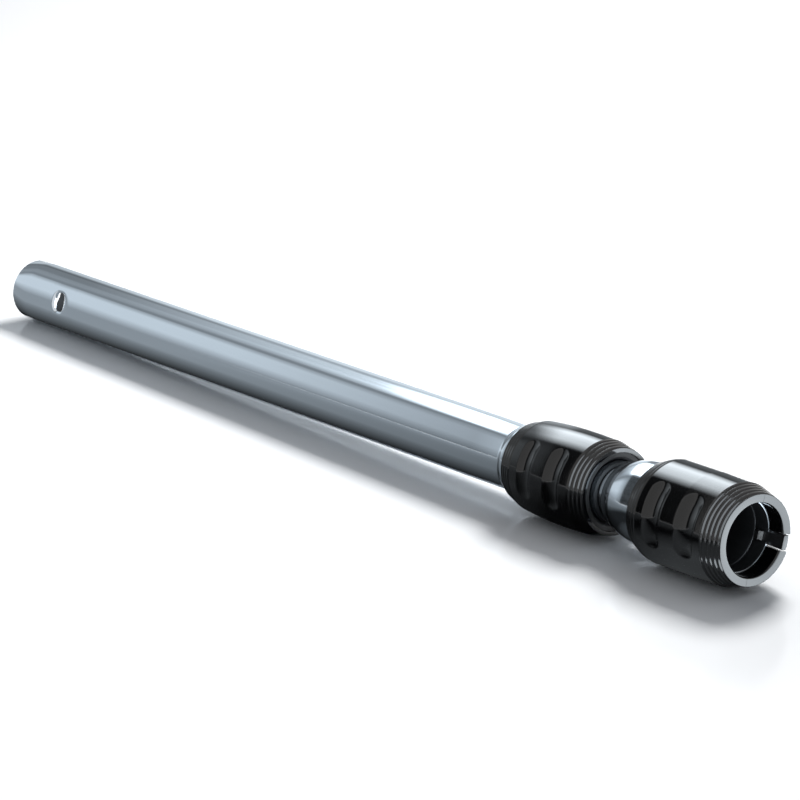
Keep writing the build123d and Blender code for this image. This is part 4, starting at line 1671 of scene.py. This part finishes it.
@dataclass
class Studio:
    """Pale floor, one soft lamp, the cards and the camera."""

    focal_px: float = 4049.4
    frame_px: float = 800.0
    position: Triple = (1.95096, -1.26255, 0.636255)
    forward: Triple = (-0.751723, 0.591616, -0.291382)
    cards: tuple[Card, ...] = (
        Backdrop("mirrored_backdrop", (-0.6, -1.4, -0.0174), (-0.6, 1.4, 1.4)),
        # The floor under the wand as mirrors see it, with a painted shadow of the wand.
        PaintedFloorShade("mirrored_floor", (-0.6, -0.6, -0.0172), (0.75, -0.007, -0.0172)),
        Softbox("mirrored_front_box", (2.2, 0.4, 0.05), (2.2, -2.2, 1.9), 6.0),
        Softbox("mirrored_low_box", (0.63, -0.04, -0.0168), (0.9, 0.3, -0.0168), 9.0),
    )
    floor_half: float = 6.0
    floor_colour: tuple[float, float, float, float] = (0.86, 0.87, 0.88, 1.0)
    floor_roughness: Ramp = Ramp(0.15, 0.4, 0.14, 0.8)
    # Glow of the floor, which grows away from the wand; close beside the wand there is none, a painted
    # shadow.
    floor_glow_and_painted_shadow: tuple[Ramp, Ramp] = (Ramp(0.01, 0.12, 0.0, 0.25), Ramp(0.3, 0.9, 0.0, 0.5))
    plain_colour: tuple[float, float, float, float] = (0.86, 0.9, 0.96, 1.0)
    plain_level: float = 0.36
    lamp_place: Triple = (0.15, 0.55, 0.75)
    lamp_target: Triple = (0.25, 0.0, 0.0)
    lamp_size: float = 0.34
    lamp_power: float = 15.0

    def floor(self) -> None:
        """Glossy pale floor just under the wand, which keeps its soft shadow and glows away from it; close
        beside the wand the glow is left out, so the floor stays darker there as painted shadow.
        """
        level = float(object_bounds()[0][2])
        corners = np.array([[-1.0, -1.0, 0.0], [1.0, -1.0, 0.0], [1.0, 1.0, 0.0], [-1.0, 1.0, 0.0]])
        corners = self.floor_half * corners + [0.0, 0.0, level]
        _, bench = staged_sheet("studio_floor", "white_floor", corners)
        beside = bench.calculate("ABSOLUTE", bench.axes()[1])
        lit = bench.wire("ShaderNodeBsdfPrincipled", {}, {
            "Base Color": self.floor_colour, "Roughness": self.floor_roughness.on(beside), "IOR": 1.4})
        # Painted shadow: no glow close beside the wand, so the floor stays darker there.
        near, far = self.floor_glow_and_painted_shadow
        glow = bench.wire("ShaderNodeEmission", {}, {
            "Strength": self.seen(bench) * (near.on(beside) + far.on(beside))})
        both = bench.wire("ShaderNodeAddShader", {}, {0: lit, 1: glow})
        bench.node("ShaderNodeOutputMaterial", {}, {"Surface": both})

    def seen(self, bench: Bench) -> Wire:
        """1 on the rays that show the background: camera, glossy and transmission rays."""
        rays = bench.ray(Ray.CAMERA) + (bench.ray(Ray.GLOSSY) + bench.ray(Ray.TRANSMISSION))
        return bench.calculate("MINIMUM", rays, 1.0)

    def world(self) -> None:
        """White surroundings where they are seen, and a plain grey light from all round."""
        world = bpy.data.worlds.new("studio_world")
        bpy.context.scene.world = world
        world.use_nodes = True
        bench = Bench(world.node_tree)
        plain = bench.wire("ShaderNodeBackground", {}, {
            "Color": self.plain_colour, "Strength": self.plain_level})
        white = bench.wire("ShaderNodeBackground", {}, {"Color": (1.0, 1.0, 1.0, 1.0), "Strength": 1.0})
        shown = bench.wire("ShaderNodeMixShader", {}, {0: self.seen(bench), 1: plain, 2: white})
        bench.node("ShaderNodeOutputWorld", {}, {"Surface": shown})

    def lamp(self) -> None:
        """One soft lamp above and behind the wand, which mirrors don't show."""
        data = bpy.data.lights.new("overhead_box", "AREA")
        data.shape = "RECTANGLE"
        data.size, data.size_y = self.lamp_size, self.lamp_size
        data.energy = self.lamp_power
        lamp = linked("overhead_box", data)
        lamp.location = self.lamp_place
        lamp.rotation_euler = look_along(np.array(self.lamp_target) - np.array(self.lamp_place))
        lamp.visible_camera = False
        lamp.visible_glossy = False

    def camera(self) -> None:
        """Camera with the photograph's angle of view, place and direction."""
        data = bpy.data.cameras.new("photo_camera")
        data.sensor_width = 36.0
        data.sensor_fit = "HORIZONTAL"
        data.lens = self.focal_px / self.frame_px * data.sensor_width
        data.clip_end = 50.0
        camera = linked("photo_camera", data)
        camera.location = self.position
        camera.rotation_euler = look_along(np.array(self.forward))
        bpy.context.scene.camera = camera

    def build(self) -> None:
        """Sets the whole studio."""
        bpy.context.scene.view_settings.view_transform = "Standard"
        self.camera()
        self.floor()
        self.world()
        self.lamp()
        for card in self.cards:
            card.build()


def look_along(direction: Array) -> Triple:
    """Euler angles of a camera or lamp that looks along a direction, with the horizon level.

    Args:
        direction: where it looks.

    Returns:
        The three angles in radians.
    """
    x, y, z = direction / np.linalg.norm(direction)
    pitch = math.atan2(math.hypot(x, y), -z)
    return (pitch, 0.0, math.atan2(-x, y))


FINISHES: dict[str, Finish] = {
    "chrome_tube": Chrome("bright_chrome_tube"),
    "chrome_cup": Chrome("bright_chrome_cup", roughness=0.07),
    "black_gloss": Moulded("gloss_black", roughness=0.07),
    "black_nose": Moulded("gloss_black_nose", colour=(0.002, 0.002, 0.0024), roughness=0.1),
    "black_lever": Moulded("semi_gloss_black", colour=(0.02, 0.02, 0.021), roughness=0.28),
    "black_satin": Moulded("satin_black", colour=(0.01, 0.01, 0.01), roughness=0.45, grain=1600.0, bump=0.12),
    "pale_nylon": Moulded("pale_nylon", colour=(0.72, 0.71, 0.66), roughness=0.42, bump=0.08),
    "grey_felt": Soft("grey_felt", colour=(0.3, 0.3, 0.31), roughness=0.95, nap=4000.0),
    "dark_rubber": Soft("dark_rubber"),
    "plain_steel": Metal("plain_steel"),
    "spring_steel": Metal("spring_steel", colour=(0.42, 0.42, 0.44), roughness=0.22),
}


def dress_cad_nodes(frame: dict[str, Any], kit: Kit) -> None:
    """Gives every CAD node that still shows its procedural finish.

    Args:
        frame: the loaded frame.
        kit: finishes by slot.
    """
    slots = {row["node"]: row["material_slot"] for row in frame["record"]["subparts"]}
    for name, node in frame["nodes"].items():
        node.data.materials.clear()
        node.data.materials.append(kit.finishes[slots[name]])
        LOG.info("%s keeps its own shape in %s", name, slots[name])


def main() -> None:
    """Builds the sub-assemblies in order, then the studio."""
    logging.basicConfig(level=logging.INFO, format="%(name)s: %(message)s")
    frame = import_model()
    sizes = Sizes()
    kit = Kit(sizes, sizes.lay(), {key: finish.dress() for key, finish in FINISHES.items()})
    dress_cad_nodes(frame, kit)
    LowerTube(kit).build()
    LockSleeve(kit).build()
    UpperTube(kit).build()
    HandleSleeve(kit).build()
    Studio().build()


if __name__ == "__main__":
    main()
